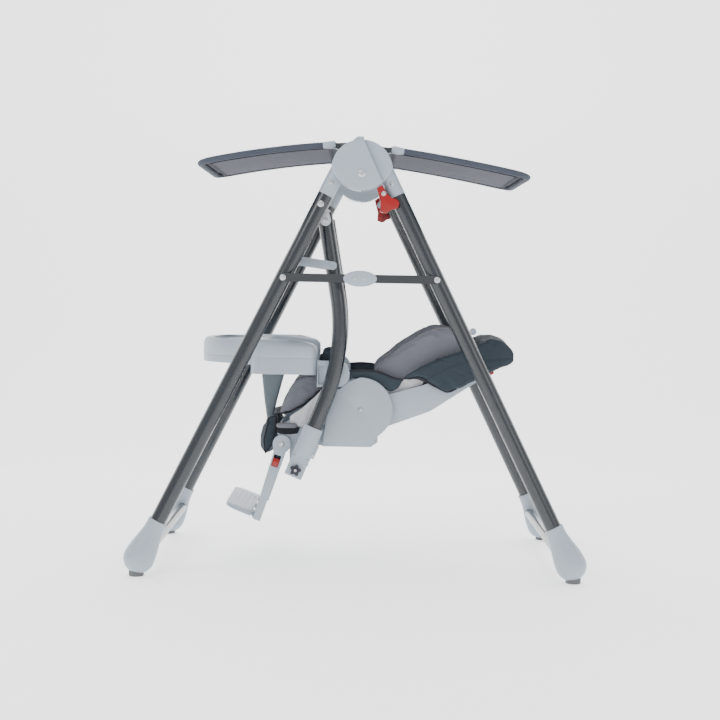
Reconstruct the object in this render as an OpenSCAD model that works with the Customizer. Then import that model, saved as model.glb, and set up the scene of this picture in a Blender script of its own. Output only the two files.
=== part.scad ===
// Baby swing: a folding A-frame with a hanging reclining seat, tray, footrest and two canopy wings.
// X runs across the swing (left is +X), Y from the tray end to the head end, Z up from the floor.

/* [Frame] */
// Diameter of the leg tubes
leg_d = 38; // [36:1:40]
// Wall of every steel tube
tube_wall = 1.5; // [1:0.1:2]
// Lean of each leg from the vertical, seen from the side
leg_lean = 26.2; // [25:0.1:27]
// Lean of each leg outwards, seen from the front
leg_splay = 3.3; // [3:0.1:3.6]
// Distance of each leg's centre line from the fold axis
leg_offset = 54; // [54:0.5:56]
// Half the distance between the two hubs
hub_x = 255; // [254:1:257]
// Height of the fold axis
hub_z = 958; // [950:1:966]
// Diameter of the bars along the floor
floor_bar_d = 25; // [20:1:26]

/* [Swing] */
// Height of the bolts that the seat swings on
swing_z = 886; // [882:1:888]
// Half the distance between the swing arms
arm_x = 205; // [204:1:206]
// Diameter of the swing arms
arm_d = 37; // [34:1:38]
// Radius of the bend in each swing arm
arm_bend_r = 480; // [460:1:500]

/* [Seat] */
// Half the width of the seat shell
seat_x = 168; // [160:1:168]
// Radius of the round side covers
side_cover_r = 78; // [74:1:80]
// Wall of the moulded seat parts
shell_wall = 5; // [4:0.5:6]
// Half the width of the tray
tray_x = 200; // [190:1:204]

/* [Canopy] */
// Half the distance between the side rails of a canopy wing
canopy_x = 244; // [240:1:244]
// Diameter of the canopy rails
rail_d = 11; // [9:1:12]

/* [Hidden] */
$fn = 48;

plastic = [0.73, 0.75, 0.78];
tube_paint = [0.21, 0.25, 0.29];
steel = [0.75, 0.76, 0.78];
red = [0.75, 0.12, 0.14];
black = [0.09, 0.09, 0.13];
slate = [0.29, 0.32, 0.37];
purple_grey = [0.43, 0.42, 0.46];
canopy_cloth = [0.39, 0.41, 0.47];
rubber = [0.45, 0.47, 0.49];

left = 1;
right = -1;
front = -1;
rear = 1;
gap = 0.4;
fit = 0.05;
eps = 0.01;

// Stations down a leg, measured from the point nearest the fold axis
leg_r = leg_d / 2;
neck_end = 83;
spigot_end = 150;
leg_joint = 508;
leg_overlap = 50;
collar_at = 950;
tube_end = 984;
ball_at = 1049;
ball_r = 37;
collar_r = 23;

// Hub
neck_r = leg_r + 0.3;
lens_top = [73, 8];
lens_low = [75, 36];
barrel_r = 34;
web_r = 35.5;
pin_r = 6;
inner_cover_x = [226, 232.4];
hub_body_x = [233, 279];
outer_cover_x = [279.4, 289.4];
split_top = [5, 75];
split_low = [48, -18];

// Points on the frame that other parts use
function leg_t(z) = (leg_offset * sin(leg_lean) - (z - hub_z) / cos(leg_splay)) / cos(leg_lean);
function leg_y(z) = leg_offset * cos(leg_lean) + leg_t(z) * sin(leg_lean);
function leg_x(z) = hub_x + (hub_z - z) * tan(leg_splay);

stay_z = 711;
stay_y = leg_y(stay_z);
stay_h = 20;
hook_z = 754;
hook_y = -leg_y(hook_z);
hook_x = [231.6, 235.6];
stud = [-66, 741];
swing_y = -leg_y(swing_z);
swing_bolt_r = 5;
rivet_r = 4;
latch_at = [52, 912];
latch_pin_r = 4;
rear_stay_x = [289.4, 292.4];
front_stay_x = [292.8, 295.8];
plate_x = [296.1, 299.1];
pad_y = 517;
pad_r = 18;
pad_h = 14;
floor_bar_at = [478, 76];
floor_bar_end = 292;

// Swing arm: a straight top, one bend and a straight end, in the plane X = arm_x
arm_r = arm_d / 2;
arm_top_a = 9.9;
arm_low_a = -22.4;
bend_top = [-53.9, 670];
bend_c = [bend_top.x - arm_bend_r * cos(arm_top_a), bend_top.y - arm_bend_r * sin(arm_top_a)];
bend_low = [bend_c.x + arm_bend_r * cos(arm_low_a), bend_c.y + arm_bend_r * sin(arm_low_a)];
arm_bolt_z = 849;
arm_bolt = [bend_top.x - (arm_bolt_z - bend_top.y) * tan(arm_top_a), arm_bolt_z];
arm_top_len = 199;
arm_low_len = 112;
sleeve_r = 24;
sleeve_from = 59;
sleeve_to = 139;
block_to = 188;
knob_at = 170;
sleeve_gap = 0.05;

// Seat
recline_at = [7, 393];
recline_pin_r = 8;
side_cover_x = [176.8, 184];
recline_disc_x = [169, 176];
recline_disc_r = 58;
armrest_x = [152, 184];
armrest_c = [-53, 478];
armrest_r = 32;
footrest_at = [-184, 305];
footrest_lean = 17.4;
footrest_x = [170, 182];
footrest_len = 197;
foot_hinge = 190;
button_at = 44;
lever_at = [322, 480];
tray_seam_z = 515;
tray_low_z = 476;
tray_front_z = 498;
tray_top_z = 560;
tongue_x = [158, 178];
tongue_z = [486, 506];

// Canopy: pin beside each hub and the arc of each wing's side rails, as distance from the hub plane and height
rail_r = rail_d / 2;
canopy_pin = [[40, 1018], [44, 1014]];
rail_start = [[62, 1028.5], [68, 1019]];
rail_tip = [[389, 981], [399, 961]];
rail_bow = [2200, 4000];
rail_corner = 45;
canopy_eye_x = [238, 250];
canopy_pin_x = [234.2, 261.8];
canopy_pin_r = 3;

// Helpers
function arc(c, r, a0, a1, n = 10) =
    [for (i = [0:n]) [c.x + r * cos(a0 + (a1 - a0) * i / n), c.y + r * sin(a0 + (a1 - a0) * i / n)]];
function flip(points) = [for (i = [len(points) - 1:-1:0]) [-points[i].x, points[i].y]];
function off_seat(d, heading, from) = [from.x + d * sin(heading), from.y - d * cos(heading)];

module on(side) {
    mirror([side < 0 ? 1 : 0, 0, 0]) children();
}

module both() {
    for (side = [left, right]) on(side) children();
}

// A side-view outline (Y, Z) extruded across X
module plate(x0, x1) {
    translate([x0, 0, 0]) rotate([90, 0, 90]) linear_extrude(x1 - x0) children();
}

module bar_x(x0, x1, at, r) {
    translate([x0, at.x, at.y]) rotate([0, 90, 0]) cylinder(r = r, h = x1 - x0);
}

module cone_x(x0, x1, at, r0, r1) {
    translate([x0, at.x, at.y]) rotate([0, 90, 0]) cylinder(r1 = r0, r2 = r1, h = x1 - x0);
}

// A strip with round ends between two points of a side view
module strip_2d(p, q, w) {
    a = atan2(q.y - p.y, q.x - p.x);
    polygon(concat(arc(p, w / 2, a + 90, a + 270, 16), arc(q, w / 2, a - 90, a + 90, 16)));
}

// The frame of a leg: the origin is the point of its centre line nearest the fold axis, and it runs down -Z
module along_leg(end) {
    translate([hub_x, 0, hub_z]) rotate([0, -leg_splay, 0]) rotate([end * leg_lean, 0, 0])
        translate([0, end * leg_offset, 0]) children();
}

module leg_piece(t0, t1, r) {
    translate([0, 0, -t1]) cylinder(r = r, h = t1 - t0);
}

// Legs
module leg_upper(side, end) {
    color(tube_paint) on(side) difference() {
        along_leg(end) difference() {
            leg_piece(neck_end + gap, leg_joint, leg_r);
            leg_piece(neck_end - 1, leg_joint + 1, leg_r - tube_wall);
        }
        bar_x(leg_x(stay_z), leg_x(stay_z) + leg_d, [end * stay_y, stay_z], rivet_r + fit);
        if (end == front) {
            bar_x(hub_x - leg_d, hub_x + leg_d, [swing_y, swing_z], swing_bolt_r + fit);
            bar_x(leg_x(hook_z) - leg_d, leg_x(hook_z), [hook_y, hook_z], rivet_r + fit);
        }
    }
}

module leg_lower(side, end) {
    color(tube_paint) on(side) along_leg(end) difference() {
        union() {
            leg_piece(leg_joint + gap, tube_end, leg_r);
            leg_piece(leg_joint - leg_overlap, leg_joint + 1, leg_r - tube_wall - fit);
        }
        leg_piece(leg_joint - leg_overlap - 1, tube_end + 1, leg_r - 2 * tube_wall);
    }
}

// Hubs
module lens(x0, x1, edge) {
    intersection() {
        round_disc(x0, x1, lens_top, edge);
        round_disc(x0, x1, lens_low, edge);
    }
}

module round_disc(x0, x1, disc, edge) {
    r = disc.x;
    translate([x0, 0, hub_z + disc.y]) rotate([0, 90, 0]) rotate_extrude($fn = 96)
        polygon(concat([[0, 0], [r, 0]], arc([r - edge, x1 - x0 - edge], edge, 0, 90, 6), [[0, x1 - x0]]));
}

module hub_half(x0, x1, end) {
    translate([x0 - 1, end > 0 ? 1 : -101, hub_z - 100]) cube([x1 - x0 + 2, 100, 200]);
}

module hub_neck(end) {
    along_leg(end) {
        leg_piece(0, neck_end, neck_r);
        leg_piece(neck_end - 1, spigot_end, leg_r - tube_wall - fit);
    }
}

// Room in a hub for a canopy rail's eye, open upwards and outwards, and the bore for its pin
module canopy_pocket(end) {
    pin = canopy_pin[end > 0 ? 1 : 0];
    x0 = canopy_eye_x[0] - 1;
    x1 = canopy_eye_x[1] + 1;
    bar_x(canopy_pin_x[0] - 0.2, canopy_pin_x[1] + 0.2, [end * pin.x, pin.y], canopy_pin_r + fit);
    bar_x(x0, x1, [end * pin.x, pin.y], 10);
    plate(x0, x1) polygon([
        for (p = [[4, -10], [60, -10], [60, 60], [0, 40], [-9, 10], [-9.9, 0]]) [end * (pin.x + p.x), pin.y + p.y]
    ]);
}

module front_hub(side) {
    color(plastic) on(side) difference() {
        union() {
            intersection() {
                lens(outer_cover_x[0], outer_cover_x[1], 5);
                plate(outer_cover_x[0] - 1, outer_cover_x[1] + 1) translate([0, hub_z])
                    polygon([[-90, -60], [-90, 100], split_top + [-0.45, 25], split_top, split_low, [50, -60]]);
            }
            plate(outer_cover_x[0], outer_cover_x[1] - 3) translate([0, hub_z])
                polygon([[-26, 74], [-12, 87], [3, 87], [5, 76]]);
            lens(inner_cover_x[0], inner_cover_x[1], 0.5);
            difference() {
                intersection() {
                    lens(inner_cover_x[0], outer_cover_x[0] + 1, 0.5);
                    hub_half(inner_cover_x[0], outer_cover_x[0], front);
                }
                bar_x(inner_cover_x[1], outer_cover_x[0], [0, hub_z], web_r);
            }
            hub_neck(front);
        }
        bar_x(200, 300, [0, hub_z], pin_r + fit);
        bar_x(200, 300, [swing_y, swing_z], swing_bolt_r + fit);
        canopy_pocket(front);
    }
}

module rear_hub(side) {
    color(plastic) on(side) difference() {
        union() {
            intersection() {
                lens(hub_body_x[0], hub_body_x[1], 5);
                hub_half(hub_body_x[0], hub_body_x[1], rear);
                plate(hub_body_x[0], hub_body_x[1]) translate([0, hub_z])
                    polygon([[0, 0], [60, -60], [100, -60], [100, 100], [0, 100]]);
            }
            bar_x(hub_body_x[0], hub_body_x[1], [0, hub_z], barrel_r);
            hub_neck(rear);
            plate(244, 262) {
                translate(latch_at) circle(9);
                translate([0, hub_z]) polygon([[44, -50], [50, -34], [66, -34], [78, -58], [60, -55]]);
            }
        }
        bar_x(200, 300, [0, hub_z], pin_r + fit);
        bar_x(200, 262.4, latch_at, latch_pin_r + fit);
        canopy_pocket(rear);
    }
}

// Feet
module foot(side, end) {
    swell = 10;
    profile = concat(
        [[0, 0], [collar_r - 1, 0], [collar_r, -1], [collar_r, -swell]],
        [for (i = [1:11]) let (u = i / 12)
            [collar_r + (ball_r - collar_r) * (1 - cos(180 * u)) / 2, -swell - (ball_at - collar_at - swell) * u]],
        arc([0, collar_at - ball_at], ball_r, 0, -90, 10));
    color(plastic) on(side) difference() {
        along_leg(end) translate([0, 0, -collar_at]) rotate_extrude() polygon(profile);
        along_leg(end) leg_piece(collar_at - 1, tube_end + gap, leg_r + fit);
        bar_x(200, floor_bar_end + gap, [end * floor_bar_at.x, floor_bar_at.y], floor_bar_d / 2 + fit);
        translate([leg_x(0), end * pad_y, -50]) cylinder(r = pad_r + fit, h = 50 + pad_h + fit);
    }
}

module foot_pads(end) {
    color(rubber) both() translate([leg_x(0), end * pad_y, 0]) {
        cylinder(r1 = pad_r - 1.5, r2 = pad_r, h = 1.5);
        translate([0, 0, 1.5]) cylinder(r = pad_r, h = pad_h - 1.5);
    }
}

module floor_bar(end) {
    at = [end * floor_bar_at.x, floor_bar_at.y];
    color(tube_paint) difference() {
        bar_x(-floor_bar_end, floor_bar_end, at, floor_bar_d / 2);
        bar_x(-floor_bar_end - 1, floor_bar_end + 1, at, floor_bar_d / 2 - tube_wall);
    }
}

// Fasteners of the front frame: hub pins, swing bolts, hook pins, stay rivets, canopy pins and neck screws
module front_bolts() {
    swing_at = [swing_y, swing_z];
    outer = leg_x(swing_z) + leg_r;
    color(steel) both() {
        bar_x(222, 291, [0, hub_z], pin_r);
        cone_x(291, 293, [0, hub_z], 9, 6);
        bar_x(289.5, 291, [0, hub_z], 9);
        bar_x(219, 225.9, [0, hub_z], 10);
        bar_x(218, outer + 1, swing_at, swing_bolt_r);
        cone_x(outer + 1, outer + 4, swing_at, 7.5, 3);
        bar_x(outer + 0.2, outer + 1, swing_at, 7.5);
        bar_x(227.8, leg_x(swing_z) - leg_r - 0.2, swing_at, 9);
        translate([217, swing_at.x, swing_at.y]) rotate([0, 90, 0]) cylinder(r = 8.5, h = 6.8, $fn = 6);
        bar_x(229, leg_x(hook_z) - leg_r + 2, [hook_y, hook_z], rivet_r);
        bar_x(228.6, 231.2, [hook_y, hook_z], 7);
        bar_x(236, leg_x(hook_z) - leg_r - 0.2, [hook_y, hook_z], 7);
        bar_x(leg_x(stay_z) + leg_r - 2, 298, [-stay_y, stay_z], rivet_r);
        bar_x(leg_x(stay_z) + leg_r + 0.8, 292.4, [-stay_y, stay_z], 7);
        cone_x(296.2, 298.6, [-stay_y, stay_z], 7, 3);
        canopy_rod(front);
        neck_screw(front);
    }
}

module neck_screw(end) {
    z = 936;
    outer = leg_x(z) + neck_r;
    cone_x(outer + 0.45, outer + 2.4, [end * (leg_y(z) + 0.5), z], 5, 3.5);
}

module canopy_rod(end) {
    pin = canopy_pin[end > 0 ? 1 : 0];
    bar_x(canopy_pin_x[0], canopy_pin_x[1], [end * pin.x, pin.y], canopy_pin_r);
}

module rear_bolts() {
    color(steel) both() {
        bar_x(240, 288, latch_at, latch_pin_r);
        cone_x(286.6, 289, latch_at, 5.5, 3);
        bar_x(leg_x(stay_z) + leg_r - 2, 293.5, [stay_y, stay_z], rivet_r);
        cone_x(292.6, 294.4, [stay_y, stay_z], 7, 3);
        canopy_rod(rear);
        neck_screw(rear);
    }
}

// Fold latch: a block under the hub's neck with an ear and a thumb lobe outside
module fold_latch(side) {
    color(red) on(side) difference() {
        union() {
            plate(262.6, 280.4) translate([0, hub_z]) polygon([
                [36, -33], [47.5, -25.5], [51, -33], [58, -62], [60, -80], [52, -91], [44, -88], [45, -66]]);
            plate(280.2, 286.4) translate([0, hub_z]) polygon(concat(
                [[38, -34], [48, -26.5], [60, -46], [71, -56]],
                arc([76, -70], 13, 75, -55, 8),
                [[70, -84], [62, -91], [52, -92], [46, -78], [47, -60]]));
        }
        bar_x(250, 300, latch_at, latch_pin_r + fit);
    }
}

// Stays: flat bars outside the legs, with an oval plate at their middle
module front_stay(side) {
    color(slate) on(side) difference() {
        plate(front_stay_x[0], front_stay_x[1]) strip_2d([-stay_y, stay_z], [-8, stay_z], stay_h);
        bar_x(280, 300, [-stay_y, stay_z], rivet_r + fit);
        bar_x(280, 300, [-12, stay_z], 3 + fit);
    }
}

module rear_stay(side) {
    color(slate) on(side) difference() {
        plate(rear_stay_x[0], rear_stay_x[1]) strip_2d([stay_y, stay_z], [8, stay_z], stay_h);
        bar_x(280, 300, [stay_y, stay_z], rivet_r + fit);
    }
}

module stay_plates() {
    half_l = 39.5;
    half_h = 19;
    oval = [for (a = [0:7.5:359]) [half_l * cos(a), stay_z + half_h * sin(a)]];
    color(plastic) both() {
        plate(plate_x[0], plate_x[1]) polygon(oval);
        bar_x(front_stay_x[0], plate_x[0] + 1, [-12, stay_z], 3);
        for (y = [-12, 12]) cone_x(plate_x[1] - eps, plate_x[1] + 1.4, [y, stay_z], 4, 2.5);
    }
}

// Lock hook: a lever on the front leg whose ring covers the stud of the swing arm
module lock_hook(side) {
    color(plastic) on(side) difference() {
        union() {
            plate(hook_x[0], hook_x[1]) strip_2d([hook_y, hook_z], stud, 20);
            bar_x(hook_x[0] + 1, hook_x[1] + 2.6, stud, 9);
        }
        bar_x(200, 300, [hook_y, hook_z], rivet_r + fit);
        bar_x(hook_x[1] + 0.6, hook_x[1] + 5, stud, 5);
    }
}

// Swing arms: two straight tubes and a bend, joined by a short sleeve inside the tube at each end of the bend
module arm_straight(at, heading, len) {
    translate([arm_x, at.x, at.y]) rotate([heading, 0, 0]) {
        difference() {
            translate([0, 0, sleeve_gap]) cylinder(r = arm_r, h = len - sleeve_gap);
            cylinder(r = arm_r - tube_wall, h = len + 1);
        }
        difference() {
            translate([0, 0, -3]) cylinder(r = arm_r - tube_wall / 2, h = 6);
            translate([0, 0, -4]) cylinder(r = arm_r - 2 * tube_wall, h = 8);
        }
    }
}

module swing_arm(side) {
    color(tube_paint) on(side) difference() {
        union() {
            arm_straight(bend_top, arm_top_a, arm_top_len);
            arm_straight(bend_low, arm_low_a + 180, arm_low_len);
            translate([arm_x, bend_c.x, bend_c.y]) rotate([90, 0, 90]) rotate([0, 0, arm_low_a])
                rotate_extrude(angle = arm_top_a - arm_low_a, $fn = 120) translate([arm_bend_r, 0]) difference() {
                    circle(arm_r, $fn = 48);
                    circle(arm_r - tube_wall, $fn = 48);
                }
        }
        bar_x(150, 250, arm_bolt, swing_bolt_r + fit);
    }
}

module arm_hangers() {
    color(steel) both() difference() {
        union() {
            plate(224.2, 227.4) strip_2d(arm_bolt, [swing_y, swing_z], 26);
            plate(182.6, 185.8) strip_2d(arm_bolt, arm_bolt + [-3, 18], 26);
            plate(183.4, 226.6) polygon([[-100, 870], [-75, 870], [-75, 873], [-100, 873]]);
        }
        bar_x(150, 250, arm_bolt, swing_bolt_r + fit);
        bar_x(200, 250, [swing_y, swing_z], swing_bolt_r + fit);
    }
}

// Fasteners of the seat: arm bolts, lock studs, recline pins, footrest pins and lever pin
module seat_bolts() {
    color(steel) both() {
        bar_x(178, 229, arm_bolt, swing_bolt_r);
        cone_x(227.8, 230.8, arm_bolt, 6.5, 3);
        bar_x(177, 182.4, arm_bolt, 8);
        bar_x(arm_x + arm_r, 230.6, stud, 7);
        bar_x(158, 186, recline_at, recline_pin_r - 3);
        bar_x(168.2, 176.6, recline_at, recline_pin_r);
        cone_x(184.1, 186, recline_at, 5.4, 3.5);
        bar_x(158, 184, footrest_at, 5);
        cone_x(182.4, 184.8, footrest_at, 7, 3.5);
    }
}

// Arm socket: a sleeve round the end of the swing arm and the block below it that carries the seat
module arm_socket(side) {
    color(plastic) on(side) difference() {
        translate([arm_x, bend_low.x, bend_low.y]) rotate([arm_low_a + 180, 0, 0]) union() {
            translate([0, 0, sleeve_from]) cylinder(r = sleeve_r, h = sleeve_to - sleeve_from);
            translate([-22, -22, sleeve_to - 1]) cube([43, 44, block_to - sleeve_to + 1]);
            translate([-36, -17, sleeve_to - 4]) cube([16, 34, 36]);
            translate([-6, -30, sleeve_to - 42]) cube([12, 12, 34]);
        }
        translate([arm_x, bend_low.x, bend_low.y]) rotate([arm_low_a + 180, 0, 0])
            translate([0, 0, sleeve_from - 1]) cylinder(r = arm_r + fit, h = arm_low_len + gap - sleeve_from + 1);
        bar_x(arm_x + 8, 250, off_seat(knob_at, arm_low_a, bend_low), 4.2);
    }
}

module star_knob(side) {
    at = off_seat(knob_at, arm_low_a, bend_low);
    lobes = [for (a = [0:6:359]) (11.8 + 2.4 * cos(5 * a)) * [cos(a), sin(a)]];
    color(black) on(side) {
        bar_x(214, 229, at, 4);
        plate(226.6, 230) translate(at) circle(8);
        plate(229.6, 238) translate(at) polygon(lobes);
    }
}

// Seat shell: an open tub with lugs for the arm sockets, the footrest and the side covers
module seat_shell() {
    outer = [[-196, 345], [-196, 330], [-180, 302], [36, 302], [50, 312], [50, 345], [-15, 385], [-22, 446],
        [-75, 446], [-100, 400]];
    inner = [[-191, 500], [-191, 332], [-177, 302 + shell_wall], [34, 302 + shell_wall], [45, 314], [45, 500]];
    color(plastic) difference() {
        union() {
            difference() {
                plate(-seat_x, seat_x) polygon(outer);
                plate(-seat_x + 6, seat_x - 6) polygon(inner);
            }
            both() {
                plate(155, seat_x) polygon([[-165, 306], [-165, 250], [-120, 250], [-105, 306]]);
                plate(seat_x - 1, side_cover_x[0] - 0.2) polygon([[-84, 306], [-66, 306], [-58, 436], [-72, 436]]);
            }
        }
        both() {
            bar_x(150, 200, recline_at, recline_pin_r - 3 + fit);
            bar_x(150, 200, footrest_at, 5 + fit);
        }
    }
}

module side_cover(side) {
    edge = 3;
    outline = concat(
        [[-86, 301], [35, 301], [42, 318]],
        arc(recline_at, side_cover_r, -58, 92, 24),
        [[-24, 460], [-44, 443], [-67, 440]]);
    color(plastic) on(side) difference() {
        plate(side_cover_x[0], side_cover_x[1]) polygon(outline);
        bar_x(150, 200, recline_at, recline_pin_r - 3 + fit);
        plate(side_cover_x[0] - 1, side_cover_x[0] + 2.6) translate(recline_at) circle(recline_disc_r + edge);
    }
}

// Armrests: round housings with a tongue that the tray slides on
module armrests() {
    x0 = armrest_x[0];
    x1 = armrest_x[1];
    color(plastic) both() difference() {
        union() {
            bar_x(x0, x1, armrest_c, armrest_r);
            plate(x0, x1) translate([-100.5, armrest_c.y - armrest_r])
                square([armrest_c.x + 100.5, 2 * armrest_r]);
            plate(tongue_x[0], tongue_x[1]) translate([-200, tongue_z[0]])
                square([105, tongue_z[1] - tongue_z[0]]);
        }
        plate(x1 - 6, x1 + 1) translate([-97, 453]) square([14, 44]);
    }
}

// Seat cushion with raised thigh wings
module seat_pad() {
    base = [[-190, 336], [-176, 309], [33, 309], [43.5, 318], [43.5, 342], [10, 352], [-150, 358], [-188, 356]];
    wing = concat([[-190, 350], [-189, 380], [-182, 414]], arc([-122, 430], 43, 125, 50, 6),
        [[-60, 430], [-40, 395], [-20, 350]]);
    color(purple_grey) union() {
        plate(-150, 150) polygon(base);
        both() plate(116, 150) polygon(wing);
    }
}

module side_bands() {
    color(slate) both() plate(150.2, 158)
        polygon([[-20, 474], [-20, 518], [10, 519], [46, 506], [48, 486], [20, 476]]);
}

module calf_flap() {
    color(slate) difference() {
        plate(-150, 150) polygon([[-224, 364], [-198, 372], [-197, 340], [-202, 300], [-225, 268], [-232, 305]]);
        plate(-25, 25) translate([-260, 334]) square([80, 60]);
    }
}

// Backrest: an open tub on two pivot discs
module backrest_shell() {
    outer = [[58, 354], [75, 352], [177, 390], [285, 461], [332, 497], [338, 514], [328, 520], [162, 455],
        [82, 432], [58, 428]];
    inner = [[52, 359], [74, 357], [175, 395], [282, 465], [328, 500], [332, 512], [330, 620], [52, 620]];
    color(plastic) difference() {
        union() {
            difference() {
                plate(-seat_x, seat_x) polygon(outer);
                plate(-seat_x + 8, seat_x - 8) polygon(inner);
            }
            both() {
                plate(recline_disc_x[0], recline_disc_x[1]) union() {
                    translate(recline_at) circle(recline_disc_r);
                    polygon([[20, 337], [60, 356], [80, 364], [80, 421], [60, 420], [20, 449]]);
                }
                plate(seat_x - 4, recline_disc_x[0] + 1) polygon([[60, 362], [79, 368], [79, 420], [60, 418]]);
                plate(32, 36) polygon([[306, 472], [316, 474], [328, 478], [328, 496], [306, 479]]);
            }
        }
        both() bar_x(150, 200, recline_at, recline_pin_r + fit);
        bar_x(-50, 50, lever_at, 3);
    }
}

module backrest_pad() {
    slab = [[66, 362], [75, 360], [176, 398], [281, 468], [324, 502], [318, 526], [270, 494], [166, 423], [62, 390]];
    wing = concat([[62, 392], [34, 470], [34, 491], [60, 522], [110, 566]], arc([200, 520], 86, 115, 55, 6),
        [[290, 568], [300, 556], [300, 512], [240, 450], [160, 410]]);
    color(purple_grey) union() {
        plate(-150, 150) polygon(slab);
        both() plate(118, 147) polygon(wing);
    }
}

// Cover pulled over the head end, with a skirt down each side
module head_cover() {
    skirt = [[106, 479], [150, 508], [198, 533], [244, 546], [318, 574], [350, 566], [378, 542], [383, 529],
        [375, 507], [326, 480], [275, 452], [240, 435], [224, 433], [185, 445], [156, 465]];
    pillow = [[302, 546], [302, 567], [318, 574], [350, 566], [378, 542], [383, 529], [375, 507], [349, 493],
        [342, 500], [342, 520], [330, 527], [320, 536]];
    color(slate) union() {
        both() plate(172, 184) polygon(skirt);
        plate(-173, 173) polygon(pillow);
    }
}

module recline_lever() {
    color(red) union() {
        plate(-31.6, 31.6) polygon([[314, 474], [330, 487], [342, 485], [344, 478], [330, 470], [318, 469]]);
        bar_x(-39, 39, lever_at, 2.95);
    }
}

// Tray, seen from above: two rear arms and a round front
function tray_half(inset) = concat(
    arc([0, -250], 145 - inset, -90, -24, 10),
    [[158 - inset, -276 - inset * 0.3], [184 - inset, -264 - inset * 0.6]],
    arc([tray_x - 24, -238], 24 - inset, -70, 0, 4),
    arc([tray_x - 20, -121], 20 - inset, 0, 90, 5),
    arc([148, -121], 20 - inset, 90, 180, 5),
    [for (a = [0:15:75]) [(128 + inset) * cos(a), -200 - (45 + inset) * sin(a)]]);

function tray_outline(inset) = let (half = tray_half(inset)) concat(half, [[0, -245 - inset]], flip(half));

module tray_base() {
    color(plastic) difference() {
        union() {
            translate([0, 0, tray_front_z]) linear_extrude(tray_seam_z - tray_front_z - 0.1)
                polygon(tray_outline(0.6));
            intersection() {
                translate([0, 0, tray_low_z]) linear_extrude(tray_seam_z - tray_low_z - 0.1)
                    polygon(tray_outline(0.6));
                both() translate([118, -262, tray_low_z]) cube([100, 180, 60]);
            }
        }
        both() translate([tongue_x[0] - gap, -235, tongue_z[0] - gap])
            cube([tongue_x[1] - tongue_x[0] + 2 * gap, 160, tongue_z[1] - tongue_z[0] + 2 * gap]);
    }
}

module tray_top() {
    steps = 6;
    round_h = 14;
    color(plastic) difference() {
        union() {
            translate([0, 0, tray_seam_z]) linear_extrude(tray_top_z - round_h - tray_seam_z)
                polygon(tray_outline(0));
            for (i = [1:steps]) let (a = 90 * i / steps)
                translate([0, 0, tray_top_z - round_h - eps])
                    linear_extrude(round_h * sin(a)) polygon(tray_outline(round_h * (1 - cos(90 * (i - 1) / steps))));
        }
        translate([0, 0, 530]) linear_extrude(60) polygon([for (a = [0:10:359]) [112 * cos(a), -318 + 56 * sin(a)]]);
        translate([66, -318, 518]) cylinder(r = 32, h = 60);
        both() translate([165, -170, 551]) linear_extrude(30)
            polygon([for (a = [0:15:359]) [16 * cos(a), 48 * sin(a)]]);
    }
}

module crotch_post() {
    color(plastic) plate(-19, 19)
        polygon([[-249, 497.6], [-189, 497.6], [-190, 462], [-206, 400], [-217, 350], [-230, 346], [-238, 400]]);
}

// Footrest
module along_footrest() {
    translate([0, footrest_at.x, footrest_at.y]) rotate([-footrest_lean, 0, 0]) children();
}

module footrest_frame() {
    hinge = off_seat(foot_hinge, -footrest_lean, footrest_at) + [-6, 0];
    x0 = footrest_x[0];
    x1 = footrest_x[1];
    color(plastic) union() {
        both() difference() {
            along_footrest() union() {
                bar_x(x0, x1, [0, 0], 22);
                plate(x0, x1) polygon([[-14, 2], [20, 4], [13, -24], [9, -footrest_len], [-9, -footrest_len],
                    [-13, -24], [-21, -6]]);
            }
            bar_x(150, 200, footrest_at, 5 + fit);
            along_footrest() translate([x1 - 7, -9, -button_at - 15]) cube([20, 18, 30]);
        }
        bar_x(-x0 - 1, x0 + 1, hinge, 6);
    }
}

module foot_plate() {
    hinge = off_seat(foot_hinge, -footrest_lean, footrest_at) + [-6, 0];
    half = 158;
    deep = 80;
    rise = 21;
    outline = concat([[-half, -11.6], [half, -11.6]], arc([half - 38, 38 - deep], 38, 0, -90, 6),
        arc([38 - half, 38 - deep], 38, -90, -180, 6));
    color(plastic) difference() {
        union() {
            translate([0, hinge.x, hinge.y]) rotate([-rise, 0, 0]) difference() {
                translate([0, 0, -5]) linear_extrude(9) polygon(outline);
                for (y = [-58:12:-22]) translate([-110, y, 2.6]) cube([220, 3, 5]);
            }
            for (x = [-120, 0, 120]) bar_x(x - 20, x + 20, hinge, 11);
            for (x = [-120, 0, 120]) translate([x - 20, hinge.x, hinge.y]) rotate([-rise, 0, 0])
                translate([0, -14, -4]) cube([40, 12, 7]);
        }
        bar_x(-200, 200, hinge, 6 + fit);
    }
}

module footrest_buttons() {
    color(red) both() along_footrest() translate([footrest_x[1] - 6.6, -8.6, -button_at - 14.6])
        cube([6.2, 17.2, 21]);
}

// Canopy wings. Each side rail is an arc over Y whose centre lies below the wing.
function bow_centre(i) =
    let (p = rail_start[i], q = rail_tip[i], m = (p + q) / 2, l = norm(q - p), n = [-(q - p).y, (q - p).x] / l)
    m - n * sqrt(rail_bow[i] * rail_bow[i] - l * l / 4);
function bow_angle(i, p) = let (c = bow_centre(i)) atan2(p.x - c.x, p.y - c.y);

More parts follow.
